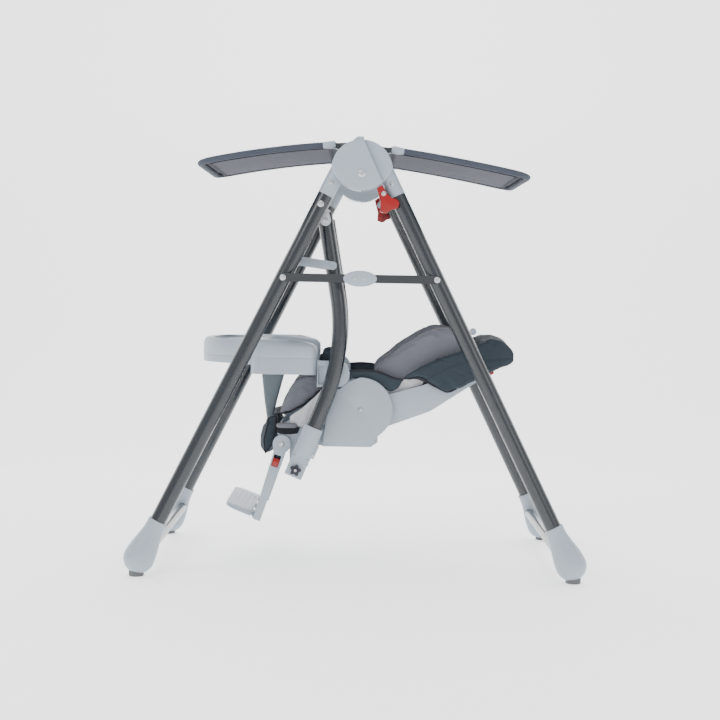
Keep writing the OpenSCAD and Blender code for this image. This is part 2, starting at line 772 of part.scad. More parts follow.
module canopy_frame(i) {
    c = bow_centre(i);
    r = rail_bow[i];
    a0 = bow_angle(i, rail_start[i]);
    a1 = bow_angle(i, rail_tip[i]) - rail_corner / r * 180 / PI;
    pin = canopy_pin[i];
    start = rail_start[i];
    color(tube_paint) rotate(i == 0 ? 180 : 0) {
        both() difference() {
            union() {
                translate([canopy_x, c.x, c.y]) rotate([90, 0, 90]) rotate([0, 0, 90 - a1])
                    rotate_extrude(angle = a1 - a0, $fn = 360) translate([r, 0]) circle(rail_r, $fn = 24);
                plate(canopy_eye_x[0], canopy_eye_x[1]) strip_2d(pin, start + [8, -1], 13);
                bar_x(canopy_eye_x[0], canopy_eye_x[1], pin, 8.5);
                translate([canopy_x, c.x, c.y]) rotate([-a1, 0, 0]) translate([-rail_corner, 0, r])
                    rotate_extrude(angle = 90, $fn = 72) translate([rail_corner, 0]) circle(rail_r, $fn = 24);
            }
            bar_x(200, 300, pin, canopy_pin_r + fit);
        }
        translate([0, c.x, c.y]) rotate([-a1, 0, 0]) translate([0, 0, r])
            bar_x(-canopy_x + rail_corner, canopy_x - rail_corner, [rail_corner, 0], rail_r);
    }
}

module canopy_fabric(i) {
    c = bow_centre(i);
    r = rail_bow[i];
    half = 3;
    side = canopy_x - rail_r - 1;
    narrow = inner_cover_x[0] - 3;
    tip = rail_tip[i].x - rail_r - 1.5;
    start = [30, 24][i];
    step = 66;
    turn = 40;
    color(canopy_cloth) rotate(i == 0 ? 180 : 0) intersection() {
        translate([-side - 1, c.x, c.y]) rotate([90, 0, 90]) linear_extrude(2 * side + 2)
            polygon(concat(
                arc([0, 0], r + half, 90 - bow_angle(i, [start, rail_start[i].y]) + 1,
                    90 - bow_angle(i, rail_tip[i]) - 1, 40),
                arc([0, 0], r - half, 90 - bow_angle(i, rail_tip[i]) - 1,
                    90 - bow_angle(i, [start, rail_start[i].y]) + 1, 40)));
        translate([0, 0, 800]) linear_extrude(400) polygon(concat(
            [[-side, step], [-narrow, step], [-narrow, start], [narrow, start], [narrow, step], [side, step]],
            arc([side - turn, tip - turn], turn, 0, 90, 8),
            arc([turn - side, tip - turn], turn, 90, 180, 8)));
    }
}

leg_upper(left, front);  // left_front_leg_upper
leg_upper(right, front);  // right_front_leg_upper
leg_lower(left, front);  // left_front_leg_lower
leg_lower(right, front);  // right_front_leg_lower
leg_upper(left, rear);  // left_rear_leg_upper
leg_upper(right, rear);  // right_rear_leg_upper
leg_lower(left, rear);  // left_rear_leg_lower
leg_lower(right, rear);  // right_rear_leg_lower
front_hub(left);  // left_front_hub
front_hub(right);  // right_front_hub
rear_hub(left);  // left_rear_hub
rear_hub(right);  // right_rear_hub
foot(left, front);  // left_front_foot
foot(right, front);  // right_front_foot
foot(left, rear);  // left_rear_foot
foot(right, rear);  // right_rear_foot
foot_pads(front);  // front_foot_pads
foot_pads(rear);  // rear_foot_pads
floor_bar(front);  // front_floor_bar
floor_bar(rear);  // rear_floor_bar
front_bolts();
rear_bolts();
fold_latch(left);  // left_fold_latch
fold_latch(right);  // right_fold_latch
front_stay(left);  // left_front_stay
front_stay(right);  // right_front_stay
stay_plates();
rear_stay(left);  // left_rear_stay
rear_stay(right);  // right_rear_stay
lock_hook(left);  // left_lock_hook
lock_hook(right);  // right_lock_hook
swing_arm(left);  // left_swing_arm
swing_arm(right);  // right_swing_arm
arm_hangers();
seat_bolts();
arm_socket(left);  // left_arm_socket
arm_socket(right);  // right_arm_socket
star_knob(left);  // left_star_knob
star_knob(right);  // right_star_knob
seat_shell();
side_cover(left);  // left_side_cover
side_cover(right);  // right_side_cover
armrests();
seat_pad();
side_bands();
calf_flap();
backrest_shell();
backrest_pad();
head_cover();
recline_lever();
tray_base();
tray_top();
crotch_post();
footrest_frame();
foot_plate();
footrest_buttons();
canopy_frame(0);  // front_canopy_frame
canopy_fabric(0);  // front_canopy_fabric
canopy_frame(1);  // rear_canopy_frame
canopy_fabric(1);  // rear_canopy_fabric
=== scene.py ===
"""Looks of the baby swing: fabric, mouldings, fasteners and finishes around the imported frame."""

import logging
import math
from dataclasses import dataclass
from enum import Enum
from typing import Callable, Iterable, Mapping, Sequence

import bmesh
import bpy
import numpy as np
from mathutils import Matrix, Vector, noise
from mathutils.bvhtree import BVHTree


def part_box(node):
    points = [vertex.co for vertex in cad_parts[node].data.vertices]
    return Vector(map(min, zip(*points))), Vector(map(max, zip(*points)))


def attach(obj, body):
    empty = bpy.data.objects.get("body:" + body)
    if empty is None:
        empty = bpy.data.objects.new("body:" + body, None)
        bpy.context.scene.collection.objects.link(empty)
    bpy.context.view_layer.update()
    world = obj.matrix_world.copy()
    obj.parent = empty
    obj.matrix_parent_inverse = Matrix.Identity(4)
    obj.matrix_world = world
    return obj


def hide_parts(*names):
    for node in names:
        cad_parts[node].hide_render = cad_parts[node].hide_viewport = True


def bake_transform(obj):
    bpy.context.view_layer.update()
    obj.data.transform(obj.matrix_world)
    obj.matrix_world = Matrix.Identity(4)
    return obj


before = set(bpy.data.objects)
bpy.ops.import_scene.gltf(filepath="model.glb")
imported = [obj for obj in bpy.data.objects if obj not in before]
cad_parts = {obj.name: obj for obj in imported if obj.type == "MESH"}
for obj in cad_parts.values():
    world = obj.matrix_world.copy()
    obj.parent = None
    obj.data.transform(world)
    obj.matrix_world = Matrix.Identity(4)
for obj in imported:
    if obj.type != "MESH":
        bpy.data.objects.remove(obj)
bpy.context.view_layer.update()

log = logging.getLogger("baby_swing")

MM = 0.001
Point2 = tuple[float, float]
Colour = tuple[float, float, float]


class Side(Enum):
    """Which side of the swing a piece is on, seen from the child."""

    LEFT = 1
    RIGHT = -1

    @property
    def word(self) -> str:
        """The side's name in node names."""
        return self.name.lower()


class End(Enum):
    """Which end of the swing a piece is at."""

    FRONT = -1
    REAR = 1

    @property
    def word(self) -> str:
        """The end's name in node names."""
        return self.name.lower()


class Slot(Enum):
    """Names of the material slots."""

    TUBE = "tube_paint"
    PLASTIC = "light_plastic"
    STEEL = "steel"
    RED = "red_plastic"
    STAY = "stay_paint"
    KNOB = "knob_plastic"
    RUBBER = "foot_rubber"
    PURPLE = "purple_fabric"
    SLATE = "slate_fabric"
    CANOPY = "canopy_fabric"


# Node trees ---------------------------------------------------------------------------------------


class Expr:
    """A number in a node tree that adds Math nodes when it is used in an expression."""

    def __init__(self, tree: "Tree", socket: bpy.types.NodeSocket) -> None:
        """Wraps an output socket of a tree."""
        self.tree = tree
        self.socket = socket

    def __add__(self, other: "Expr | float") -> "Expr":
        """self + other."""
        return self.tree.math("ADD", self, other)

    __radd__ = __add__

    def __sub__(self, other: "Expr | float") -> "Expr":
        """self - other."""
        return self.tree.math("SUBTRACT", self, other)

    def __rsub__(self, other: float) -> "Expr":
        """other - self."""
        return self.tree.math("SUBTRACT", other, self)

    def __mul__(self, other: "Expr | float") -> "Expr":
        """self * other."""
        return self.tree.math("MULTIPLY", self, other)

    __rmul__ = __mul__

    def __truediv__(self, other: "Expr | float") -> "Expr":
        """self / other."""
        return self.tree.math("DIVIDE", self, other)

    def __pow__(self, power: float) -> "Expr":
        """self to a power."""
        return self.tree.math("POWER", self, power)

    def most(self, other: "Expr | float") -> "Expr":
        """The larger of two numbers."""
        return self.tree.math("MAXIMUM", self, other)

    def root(self) -> "Expr":
        """The square root."""
        return self.tree.math("SQRT", self)

    def sine(self) -> "Expr":
        """The sine."""
        return self.tree.math("SINE", self)

    def size(self) -> "Expr":
        """The size without its sign."""
        return self.tree.math("ABSOLUTE", self)

    def ease(self, low: float, high: float) -> "Expr":
        """0 below low, 1 above high and a smooth step between.

        Args:
            low: Where the step starts.
            high: Where it ends.

        Returns:
            The stepped number.
        """
        settings = {"interpolation_type": "SMOOTHSTEP"}
        made = self.tree.node("ShaderNodeMapRange", settings, {0: self, 1: low, 2: high, 3: 0.0, 4: 1.0})
        return Expr(self.tree, made.outputs[0])


class Tree:
    """A node tree that is built by calls."""

    def __init__(self, tree: bpy.types.NodeTree) -> None:
        """Takes the tree to build in."""
        self.tree = tree

    def node(
        self, kind: str, settings: Mapping | None = None, sockets: Mapping | None = None
    ) -> bpy.types.Node:
        """Adds one node.

        Args:
            kind: The node's type.
            settings: Its properties, and "stops" for a colour ramp.
            sockets: Values or links of its inputs, by name or number.

        Returns:
            The new node.
        """
        made = self.tree.nodes.new(kind)
        for key, value in (settings or {}).items():
            if key == "stops":
                ramp = made.color_ramp
                for i, (at, colour) in enumerate(value):
                    stop = ramp.elements[i] if i < 2 else ramp.elements.new(at)
                    stop.position, stop.color = at, colour
            else:
                setattr(made, key, value)
        for key, value in (sockets or {}).items():
            self.feed(made.inputs[key], value)
        return made

    def feed(self, socket: bpy.types.NodeSocket, value: object) -> None:
        """Links or sets one input socket."""
        if isinstance(value, Expr):
            value = value.socket
        if isinstance(value, bpy.types.NodeSocket):
            self.tree.links.new(value, socket)
        else:
            socket.default_value = value

    def math(self, operation: str, *terms: "Expr | float") -> Expr:
        """A Math node on numbers.

        Args:
            operation: The node's operation.
            terms: Its inputs.

        Returns:
            The result.
        """
        made = self.node("ShaderNodeMath", {"operation": operation}, dict(enumerate(terms)))
        return Expr(self, made.outputs[0])


class ShaderTree(Tree):
    """A material's nodes around one Principled shader."""

    def __init__(self, name: str) -> None:
        """Makes a new material."""
        self.material = bpy.data.materials.new(name)
        self.material.use_nodes = True
        super().__init__(self.material.node_tree)
        self.shader = next(n for n in self.tree.nodes if n.type == "BSDF_PRINCIPLED")
        self.place = self.node("ShaderNodeTexCoord").outputs["Object"]

    def grain(self, scale: float, detail: float = 2.0, stretch: Colour = (1, 1, 1)) -> Expr:
        """Noise over the piece's own coordinates.

        Args:
            scale: Cells for each metre.
            detail: Octaves.
            stretch: Scale along each axis.

        Returns:
            The noise, from 0 to 1.
        """
        place = self.node("ShaderNodeMapping", {}, {"Vector": self.place, "Scale": stretch}).outputs[0]
        made = self.node("ShaderNodeTexNoise", {}, {"Vector": place, "Scale": scale, "Detail": detail})
        return Expr(self, made.outputs[0])

    def blend(self, share: Expr, a: Colour, b: Colour, under: object = None) -> bpy.types.NodeSocket:
        """A colour between two.

        Args:
            share: 0 for a, 1 for b.
            a: The first colour, unless under is given.
            b: The second colour.
            under: A colour socket that replaces a.

        Returns:
            The mixed colour's socket.
        """
        first = under if under is not None else (*a, 1.0)
        made = self.node("ShaderNodeMix", {"data_type": "RGBA"}, {0: share, 6: first, 7: (*b, 1.0)})
        return made.outputs[2]

    def bump(self, height: Expr, distance: float, strength: float = 1.0) -> bpy.types.NodeSocket:
        """A bumped normal.

        Args:
            height: The relief, about 0 to 1.
            distance: How far 1 stands out, in metres.
            strength: How much of it shows.

        Returns:
            The normal's socket.
        """
        made = self.node("ShaderNodeBump", {}, {"Strength": strength, "Distance": distance, "Height": height})
        return made.outputs[0]

    def set(self, **values: object) -> None:
        """Feeds the shader's sockets, named with _ for a space."""
        for key, value in values.items():
            self.feed(self.shader.inputs[key.replace("_", " ")], value)


class GeometryTree(Tree):
    """A Geometry Nodes tree with named inputs."""

    def __init__(self, name: str, numbers: Mapping[str, float]) -> None:
        """Makes the tree.

        Args:
            name: The tree's name.
            numbers: Its number inputs and their defaults.
        """
        group = bpy.data.node_groups.new(name, "GeometryNodeTree")
        super().__init__(group)
        face = group.interface
        face.new_socket("Geometry", in_out="OUTPUT", socket_type="NodeSocketGeometry")
        face.new_socket("Geometry", in_out="INPUT", socket_type="NodeSocketGeometry")
        self.keys: dict[str, str] = {}
        for key, value in numbers.items():
            item = face.new_socket(key, in_out="INPUT", socket_type="NodeSocketFloat")
            item.default_value = value
            self.keys[key] = item.identifier
        item = face.new_socket("Finish", in_out="INPUT", socket_type="NodeSocketMaterial")
        self.keys["Finish"] = item.identifier
        self.entry = self.node("NodeGroupInput")
        self.out = self.node("NodeGroupOutput")

    def given(self, key: str) -> Expr:
        """One of the tree's number inputs."""
        return Expr(self, self.entry.outputs[key])

    def close(self, shape: bpy.types.NodeSocket) -> None:
        """Ends the tree with smooth shading, real instances and the finish."""
        real = self.node("GeometryNodeRealizeInstances", {}, {0: shape}).outputs[0]
        even = self.node("GeometryNodeSetShadeSmooth", {}, {0: real}).outputs[0]
        done = self.node("GeometryNodeSetMaterial", {}, {0: even, "Material": self.entry.outputs["Finish"]})
        self.feed(self.out.inputs[0], done.outputs[0])

    def grow(self, name: str, seed: bpy.types.Mesh, finish: "Finish", **values: float) -> bpy.types.Object:
        """Runs the tree on a mesh and keeps the result as a plain mesh.

        Args:
            name: The new piece's name.
            seed: The mesh that the tree starts from.
            finish: Its finish.
            values: The tree's inputs, named with _ for a space.

        Returns:
            The new piece.
        """
        holder = put(name + "_seed", seed)
        live = holder.modifiers.new("Grow", "NODES")
        live.node_group = self.tree
        live[self.keys["Finish"]] = finish.material()
        for key, value in values.items():
            live[self.keys[key.replace("_", " ").title()]] = value
        mesh = frozen(holder)
        holder.modifiers.clear()
        bpy.data.objects.remove(holder)
        return put(name, mesh)


def piping_tree() -> GeometryTree:
    """A round cord along the edges of a mesh."""
    tree = GeometryTree("piping", {"Radius": 0.002, "Step": 0.004})
    line = tree.node("GeometryNodeMeshToCurve", {}, {0: tree.entry.outputs[0]}).outputs[0]
    sockets = {"Curve": line, "Length": tree.given("Step")}
    even = tree.node("GeometryNodeResampleCurve", {"mode": "LENGTH"}, sockets)
    sockets = {"Resolution": 8, "Radius": tree.given("Radius")}
    ring = tree.node("GeometryNodeCurvePrimitiveCircle", {}, sockets)
    sockets = {"Curve": even.outputs[0], "Profile Curve": ring.outputs[0], "Fill Caps": True}
    tree.close(tree.node("GeometryNodeCurveToMesh", {}, sockets).outputs[0])
    return tree


def stitch_tree() -> GeometryTree:
    """Short threads in a row along the edges of a mesh."""
    tree = GeometryTree("stitches", {"Pitch": 0.006, "Length": 0.0042, "Thread": 0.0007})
    line = tree.node("GeometryNodeMeshToCurve", {}, {0: tree.entry.outputs[0]}).outputs[0]
    sockets = {"Curve": line, "Length": tree.given("Pitch")}
    even = tree.node("GeometryNodeResampleCurve", {"mode": "LENGTH"}, sockets)
    along = tree.node("GeometryNodeInputTangent").outputs[0]
    turn = tree.node("FunctionNodeAlignRotationToVector", {"axis": "Z"}, {"Vector": along}).outputs[0]
    sockets = {"Vertices": 6, "Side Segments": 1, "Radius": tree.given("Thread")}
    sockets["Depth"] = tree.given("Length")
    thread = tree.node("GeometryNodeMeshCylinder", {}, sockets).outputs[0]
    sockets = {"Points": even.outputs[0], "Instance": thread, "Rotation": turn}
    tree.close(tree.node("GeometryNodeInstanceOnPoints", {}, sockets).outputs[0])
    return tree


def screw_tree() -> GeometryTree:
    """Pan heads with a cross recess on the points of a mesh; each faces its "facing" and has its "radius"."""
    tree = GeometryTree("screw heads", {"Dome": 0.42, "Recess": 0.22})
    sockets = {"Vertices": 20, "Side Segments": 1, "Radius Top": 0.62, "Radius Bottom": 1.0}
    head = tree.node("GeometryNodeMeshCone", {}, {**sockets, "Depth": tree.given("Dome")}).outputs[0]
    slots = tree.node("GeometryNodeJoinGeometry")
    for size in ((1.1, 0.24, 1.0), (0.24, 1.1, 1.0)):
        bar = tree.node("GeometryNodeMeshCube", {}, {"Size": size}).outputs[0]
        lift = tree.node("ShaderNodeCombineXYZ", {}, {2: tree.given("Recess") + 0.45}).outputs[0]
        moved = tree.node("GeometryNodeTransform", {}, {"Geometry": bar, "Translation": lift}).outputs[0]
        tree.tree.links.new(moved, slots.inputs[0])
    sockets = {"Mesh 1": head, "Mesh 2": slots.outputs[0], "Self Intersection": True}
    cut = tree.node("GeometryNodeMeshBoolean", {"operation": "DIFFERENCE", "solver": "EXACT"}, sockets)
    read = "GeometryNodeInputNamedAttribute"
    facing = tree.node(read, {"data_type": "FLOAT_VECTOR"}, {"Name": "facing"}).outputs[0]
    radius = tree.node(read, {"data_type": "FLOAT"}, {"Name": "radius"}).outputs[0]
    turn = tree.node("FunctionNodeAlignRotationToVector", {"axis": "Z"}, {"Vector": facing}).outputs[0]
    sockets = {"Points": tree.entry.outputs[0], "Instance": cut.outputs[0], "Rotation": turn, "Scale": radius}
    shape = tree.node("GeometryNodeInstanceOnPoints", {}, sockets).outputs[0]
    real = tree.node("GeometryNodeRealizeInstances", {}, {0: shape}).outputs[0]
    done = tree.node("GeometryNodeSetMaterial", {}, {0: real, "Material": tree.entry.outputs["Finish"]})
    tree.feed(tree.out.inputs[0], done.outputs[0])
    return tree


def wing_tree() -> GeometryTree:
    """A canopy cloth: a grid laid on the arc of the side rails, narrow at the hub and round at the tip."""
    names = ("End", "Wide", "Narrow", "Step", "Start", "Tip", "Corner")
    names += ("Centre Y", "Centre Z", "Bow", "Sag", "Drop")
    tree = GeometryTree("canopy cloth", {key: 0.0 for key in names})
    g = {key: tree.given(key) for key in names}
    sockets = {"Size X": 2.0, "Size Y": 1.0, "Vertices X": 49, "Vertices Y": 49}
    grid = tree.node("GeometryNodeMeshGrid", {}, sockets).outputs[0]
    place = tree.node("GeometryNodeInputPosition").outputs[0]
    parts = tree.node("ShaderNodeSeparateXYZ", {}, {0: place})
    across, share = Expr(tree, parts.outputs[0]), Expr(tree, parts.outputs[1]) + 0.5
    reach = g["Start"] + (g["Tip"] - g["Start"]) * share
    into = (g["Corner"] - (g["Tip"] - reach)).most(0.0)
    turned = g["Corner"] - (g["Corner"] * g["Corner"] - into * into).most(0.0).root()
    past = tree.math("GREATER_THAN", reach, g["Step"])
    width = g["Narrow"] + (g["Wide"] - g["Narrow"]) * past - turned
    rise = (g["Bow"] * g["Bow"] - (reach - g["Centre Y"]) ** 2.0).root()
    dip = g["Sag"] * (1.0 - across * across) * (share * math.pi).sine() + g["Drop"]
    ripple_sockets = {"Vector": place, "Scale": 5.5, "Detail": 2.0}
    ripple = Expr(tree, tree.node("ShaderNodeTexNoise", {}, ripple_sockets).outputs[0]) - 0.5
    edge = (1.0 - across ** 8.0) * (share * math.pi).sine()
    height = g["Centre Z"] + rise - dip + ripple * edge * 0.006
    sockets = {0: across * width, 1: reach * g["End"], 2: height}
    spot = tree.node("ShaderNodeCombineXYZ", {}, sockets).outputs[0]
    laid = tree.node("GeometryNodeSetPosition", {}, {"Geometry": grid, "Position": spot}).outputs[0]
    tree.close(laid)
    return tree


# Meshes -------------------------------------------------------------------------------------------


def put(name: str, mesh: bpy.types.Mesh) -> bpy.types.Object:
    """Links a mesh into the scene as a new object at the origin."""
    mesh.name = name
    made = bpy.data.objects.new(name, mesh)
    bpy.context.scene.collection.objects.link(made)
    return made


def frozen(piece: bpy.types.Object) -> bpy.types.Mesh:
    """The evaluated mesh of an object, as a plain mesh."""
    bpy.context.view_layer.update()
    graph = bpy.context.evaluated_depsgraph_get()
    return bpy.data.meshes.new_from_object(piece.evaluated_get(graph), depsgraph=graph)


def settle(piece: bpy.types.Object) -> bpy.types.Object:
    """Applies an object's modifiers to its mesh."""
    mesh = frozen(piece)
    piece.modifiers.clear()
    piece.data = mesh
    return piece


def from_bmesh(name: str, bm: bmesh.types.BMesh, outwards: bool = True) -> bpy.types.Object:
    """Makes an object of a bmesh and frees it.

    Args:
        name: The new object's name.
        bm: The mesh.
        outwards: Whether its faces are turned outwards first.

    Returns:
        The new object, shaded smooth.
    """
    if outwards:
        bmesh.ops.recalc_face_normals(bm, faces=bm.faces)
    mesh = bpy.data.meshes.new(name)
    bm.to_mesh(mesh)
    bm.free()
    mesh.shade_smooth()
    return put(name, mesh)


def line_mesh(points: Sequence[Sequence[float]], closed: bool = False) -> bpy.types.Mesh:
    """A mesh of edges through points, in metres."""
    n = len(points)
    edges = [(i, (i + 1) % n) for i in range(n if closed else n - 1)]
    mesh = bpy.data.meshes.new("line")
    mesh.from_pydata([tuple(p) for p in points], edges, [])
    return mesh


def lines_mesh(lines: Iterable[Sequence[Sequence[float]]], closed: bool = False) -> bpy.types.Mesh:
    """A mesh of several lines of edges, in metres."""
    points, edges = [], []
    for line in lines:
        first, n = len(points), len(line)
        points += [tuple(p) for p in line]
        edges += [(first + i, first + (i + 1) % n) for i in range(n if closed else n - 1)]
    mesh = bpy.data.meshes.new("lines")
    mesh.from_pydata(points, edges, [])
    return mesh


def curved(points: Sequence[Point2], steps: int = 5, closed: bool = True) -> list[Point2]:
    """Rounds a line of points with a Catmull-Rom curve.

    Args:
        points: The points to pass through.
        steps: New points for each span.
        closed: Whether the line is a loop.

    Returns:
        The finer line.
    """
    p = np.array(points, float)
    n = len(p)
    if closed:
        get = lambda i: p[i % n]
    else:
        get = lambda i: p[min(max(i, 0), n - 1)]
    line = []
    for i in range(n if closed else n - 1):
        a, b, c, d = get(i - 1), get(i), get(i + 1), get(i + 2)
        for k in range(steps):
            t = k / steps
            bend = (2 * a - 5 * b + 4 * c - d) * t**2
            twist = (3 * b - a - 3 * c + d) * t**3
            line.append(0.5 * (2 * b + (c - a) * t + bend + twist))
    if not closed:
        line.append(p[-1])
    return [tuple(q) for q in line]


def slab(name: str, outline: Sequence[Point2], x0: float, x1: float) -> bpy.types.Object:
    """A closed plate: a side-view outline in millimetres, between two planes of X."""
    bm = bmesh.new()
    rings = [[bm.verts.new((x * MM, y * MM, z * MM)) for y, z in outline] for x in (x0, x1)]
    n = len(outline)
    for i in range(n):
        j = (i + 1) % n
        bm.faces.new((rings[0][i], rings[0][j], rings[1][j], rings[1][i]))
    bm.faces.new(rings[0])
    bm.faces.new(rings[1][::-1])
    bmesh.ops.triangulate(bm, faces=bm.faces)
    return from_bmesh(name, bm)


def lathe(
    name: str, profile: Sequence[Point2], at: Sequence[float], axis: Sequence[float], n: int = 32
) -> bpy.types.Object:
    """A turned piece: (distance along the axis, radius) pairs in millimetres, closed at both ends."""
    turn = Vector(axis).to_track_quat("Z", "Y").to_matrix()
    bm = bmesh.new()
    rings = []
    for along, radius in profile:
        ring = []
        for i in range(n):
            a = math.tau * i / n
            local = Vector((radius * math.cos(a), radius * math.sin(a), along)) * MM
            ring.append(bm.verts.new(turn @ local + Vector(at) * MM))
        rings.append(ring)
    for a, b in zip(rings, rings[1:]):
        for i in range(n):
            j = (i + 1) % n
            bm.faces.new((a[i], a[j], b[j], b[i]))
    bm.faces.new(rings[0][::-1])
    bm.faces.new(rings[-1])
    piece = from_bmesh(name, bm)
    piece.data.set_sharp_from_angle(angle=math.radians(40))
    return piece


def mirrored(name: str, piece: bpy.types.Object) -> bpy.types.Object:
    """A copy of a piece on the other side of the swing, with its faces turned outwards again."""
    mesh = piece.data.copy()
    mesh.transform(Matrix.Scale(-1, 4, (1, 0, 0)))
    mesh.flip_normals()
    return put(name, mesh)


def softened(
    node: str, width: float, steps: int = 3, where: Callable | None = None
) -> bpy.types.Object | None:
    """A copy of a moulded CAD node with rounded edges.

    Args:
        node: The CAD node.
        width: The rounding's width, in millimetres.
        steps: Faces across the rounding.
        where: Says which edges are rounded, from an edge's middle; all sharp ones if not given.

    Returns:
        The copy, or None where the rounding would leave the node's box.
    """
    bm = bmesh.new()
    bm.from_mesh(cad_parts[node].data)
    bmesh.ops.remove_doubles(bm, verts=bm.verts, dist=2e-6)
    bmesh.ops.dissolve_limit(bm, angle_limit=math.radians(0.6), verts=bm.verts, edges=bm.edges)
    edges = [
        e
        for e in bm.edges
        if len(e.link_faces) == 2
        and e.calc_face_angle(0.0) > math.radians(38)
        and (where is None or where((e.verts[0].co + e.verts[1].co) / 2))
    ]
    settings = {"offset_type": "OFFSET", "segments": steps, "profile": 0.5, "affect": "EDGES"}
    bmesh.ops.bevel(bm, geom=edges, offset=width * MM, clamp_overlap=True, **settings)
    bmesh.ops.triangulate(bm, faces=[f for f in bm.faces if len(f.verts) > 4])
    piece = from_bmesh(node + "_moulding", bm, outwards=False)
    for layer in ("custom_normal", "sharp_face", "sharp_edge"):
        if layer in piece.data.attributes:
            piece.data.attributes.remove(piece.data.attributes[layer])
    piece.data.shade_smooth()
    piece.data.set_sharp_from_angle(angle=math.radians(42))
    low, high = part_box(node)
    points = np.array([v.co for v in piece.data.vertices])
    if (points.min(0) < np.array(low) - 3e-4).any() or (points.max(0) > np.array(high) + 3e-4).any():
        bpy.data.objects.remove(piece)
        log.warning("%s keeps its plain edges", node)
        return None
    return piece


# Padding ------------------------------------------------------------------------------------------


@dataclass(frozen=True)
class Padding:
    """How a padded piece swells.

    Attributes:
        voxel: Size of the cells of its cloth, in metres.
        shrink: How much smaller it starts.
        pressure: Pressure of the filling.
        reach: How far a point may move.
    """

    voxel: float = 0.005
    shrink: float = 0.004
    pressure: float = 4.0
    reach: float = 0.012

    def swell(self, piece: bpy.types.Object) -> bpy.types.Object:
        """Turns a plain solid into a filled cloth shape.

        Args:
            piece: The solid, which is changed.

        Returns:
            The same object.
        """
        cells = piece.modifiers.new("Cells", "REMESH")
        cells.mode, cells.voxel_size, cells.use_smooth_shade = "VOXEL", self.voxel, True
        settle(piece)
        even = piece.modifiers.new("Even", "SMOOTH")
        even.factor, even.iterations = 0.5, 6
        settle(piece)
        rest = self.points(piece) - self.normals(piece) * self.shrink
        self.place(piece, rest)
        self.place(piece, self.simulated(piece, rest))
        finer = piece.modifiers.new("Finer", "SUBSURF")
        finer.levels = finer.render_levels = 1
        settle(piece)
        piece.data.shade_smooth()
        return piece

    def simulated(self, piece: bpy.types.Object, rest: np.ndarray) -> np.ndarray:
        """Runs the cloth and returns its points, no further from rest than the reach."""
        live = piece.modifiers.new("Cloth", "CLOTH")
        cloth = live.settings
        cloth.use_pressure, cloth.uniform_pressure_force = True, self.pressure
        cloth.effector_weights.gravity = 0
        cloth.quality, cloth.mass = 5, 0.3
        cloth.tension_stiffness = cloth.compression_stiffness = 12
        live.point_cache.frame_start, live.point_cache.frame_end = 1, 20
        scene = bpy.context.scene
        for number in range(1, 21):
            scene.frame_set(number)
        mesh = frozen(piece)
        moved = np.array([v.co for v in mesh.vertices])
        piece.modifiers.clear()
        scene.frame_set(1)
        bpy.data.meshes.remove(mesh)
        step = moved - rest
        length = np.linalg.norm(step, axis=1, keepdims=True)
        return rest + step * np.minimum(1.0, self.reach / np.maximum(length, 1e-9))

    @staticmethod
    def points(piece: bpy.types.Object) -> np.ndarray:
        """A mesh's points."""
        return np.array([v.co for v in piece.data.vertices], float)

    @staticmethod
    def normals(piece: bpy.types.Object) -> np.ndarray:
        """A mesh's point normals."""
        return np.array([v.normal for v in piece.data.vertices], float)

    @staticmethod
    def place(piece: bpy.types.Object, points: np.ndarray) -> None:
        """Moves a mesh's points."""
        piece.data.vertices.foreach_set("co", points.astype(np.float32).ravel())
        piece.data.update()


def crease(piece: bpy.types.Object, rule: Callable[[Vector, Vector], float]) -> None:
    """Moves each point along its normal by what a rule says, in metres.

    Args:
        piece: The piece.
        rule: Takes a point and its normal, and gives the distance outwards.
    """
    rest, normals = Padding.points(piece), Padding.normals(piece)
    move = np.array([rule(Vector(p), Vector(n)) for p, n in zip(rest, normals)])
    Padding.place(piece, rest + normals * move[:, None])


def held_in(piece: bpy.types.Object, axis: int, low: float, high: float) -> None:
    """Keeps a piece between two planes, given in millimetres."""
    points = Padding.points(piece)
    points[:, axis] = np.clip(points[:, axis], low * MM, high * MM)
    Padding.place(piece, points)


def dent(distance: float, width: float, depth: float) -> float:
    """The depth of a sewn line's dent at a distance from it."""
    return -depth * math.exp(-((distance / width) ** 2))


def from_line(y: float, z: float, line: Sequence[Point2]) -> float:
    """The distance of a side-view point from a line, all in metres."""
    best = 9.0
    for (ay, az), (by, bz) in zip(line, line[1:]):
        dy, dz = by - ay, bz - az
        t = max(0.0, min(1.0, ((y - ay) * dy + (z - az) * dz) / max(dy * dy + dz * dz, 1e-12)))
        best = min(best, math.hypot(y - ay - dy * t, z - az - dz * t))
    return best


def metres(points: Sequence[Point2]) -> list[Point2]:
    """Side-view points from millimetres to metres."""
    return [(y * MM, z * MM) for y, z in points]


class Surface:
    """A piece's surface, for laying seams and cords on it."""

    def __init__(self, piece: bpy.types.Object) -> None:
        """Reads the piece's mesh."""
        bm = bmesh.new()
        bm.from_mesh(piece.data)
        self.tree = BVHTree.FromBMesh(bm)
        bm.free()

    def beside(self, y: float, z: float, side: Side, lift: float = 0.0) -> Vector | None:
        """The outermost point of the surface at a side-view point, in metres."""
        start = Vector((side.value * 0.3, y, z))
        hit = self.tree.ray_cast(start, Vector((-side.value, 0, 0)))
        return None if hit[0] is None else hit[0] + Vector((side.value * lift, 0, 0))

    def near(self, point: Sequence[float], lift: float = 0.0) -> Vector:
        """The nearest point of the surface, raised by lift."""
        place, normal, _, _ = self.tree.find_nearest(Vector(point))
        return place + normal * lift

    def over(self, x: float, y: float, lift: float = 0.0) -> Vector | None:
        """The highest point of the surface at a point seen from above, in metres."""
        hit = self.tree.ray_cast(Vector((x, y, 1.3)), Vector((0, 0, -1)))
        return None if hit[0] is None else hit[0] + Vector((0, 0, lift))


# Finishes -----------------------------------------------------------------------------------------


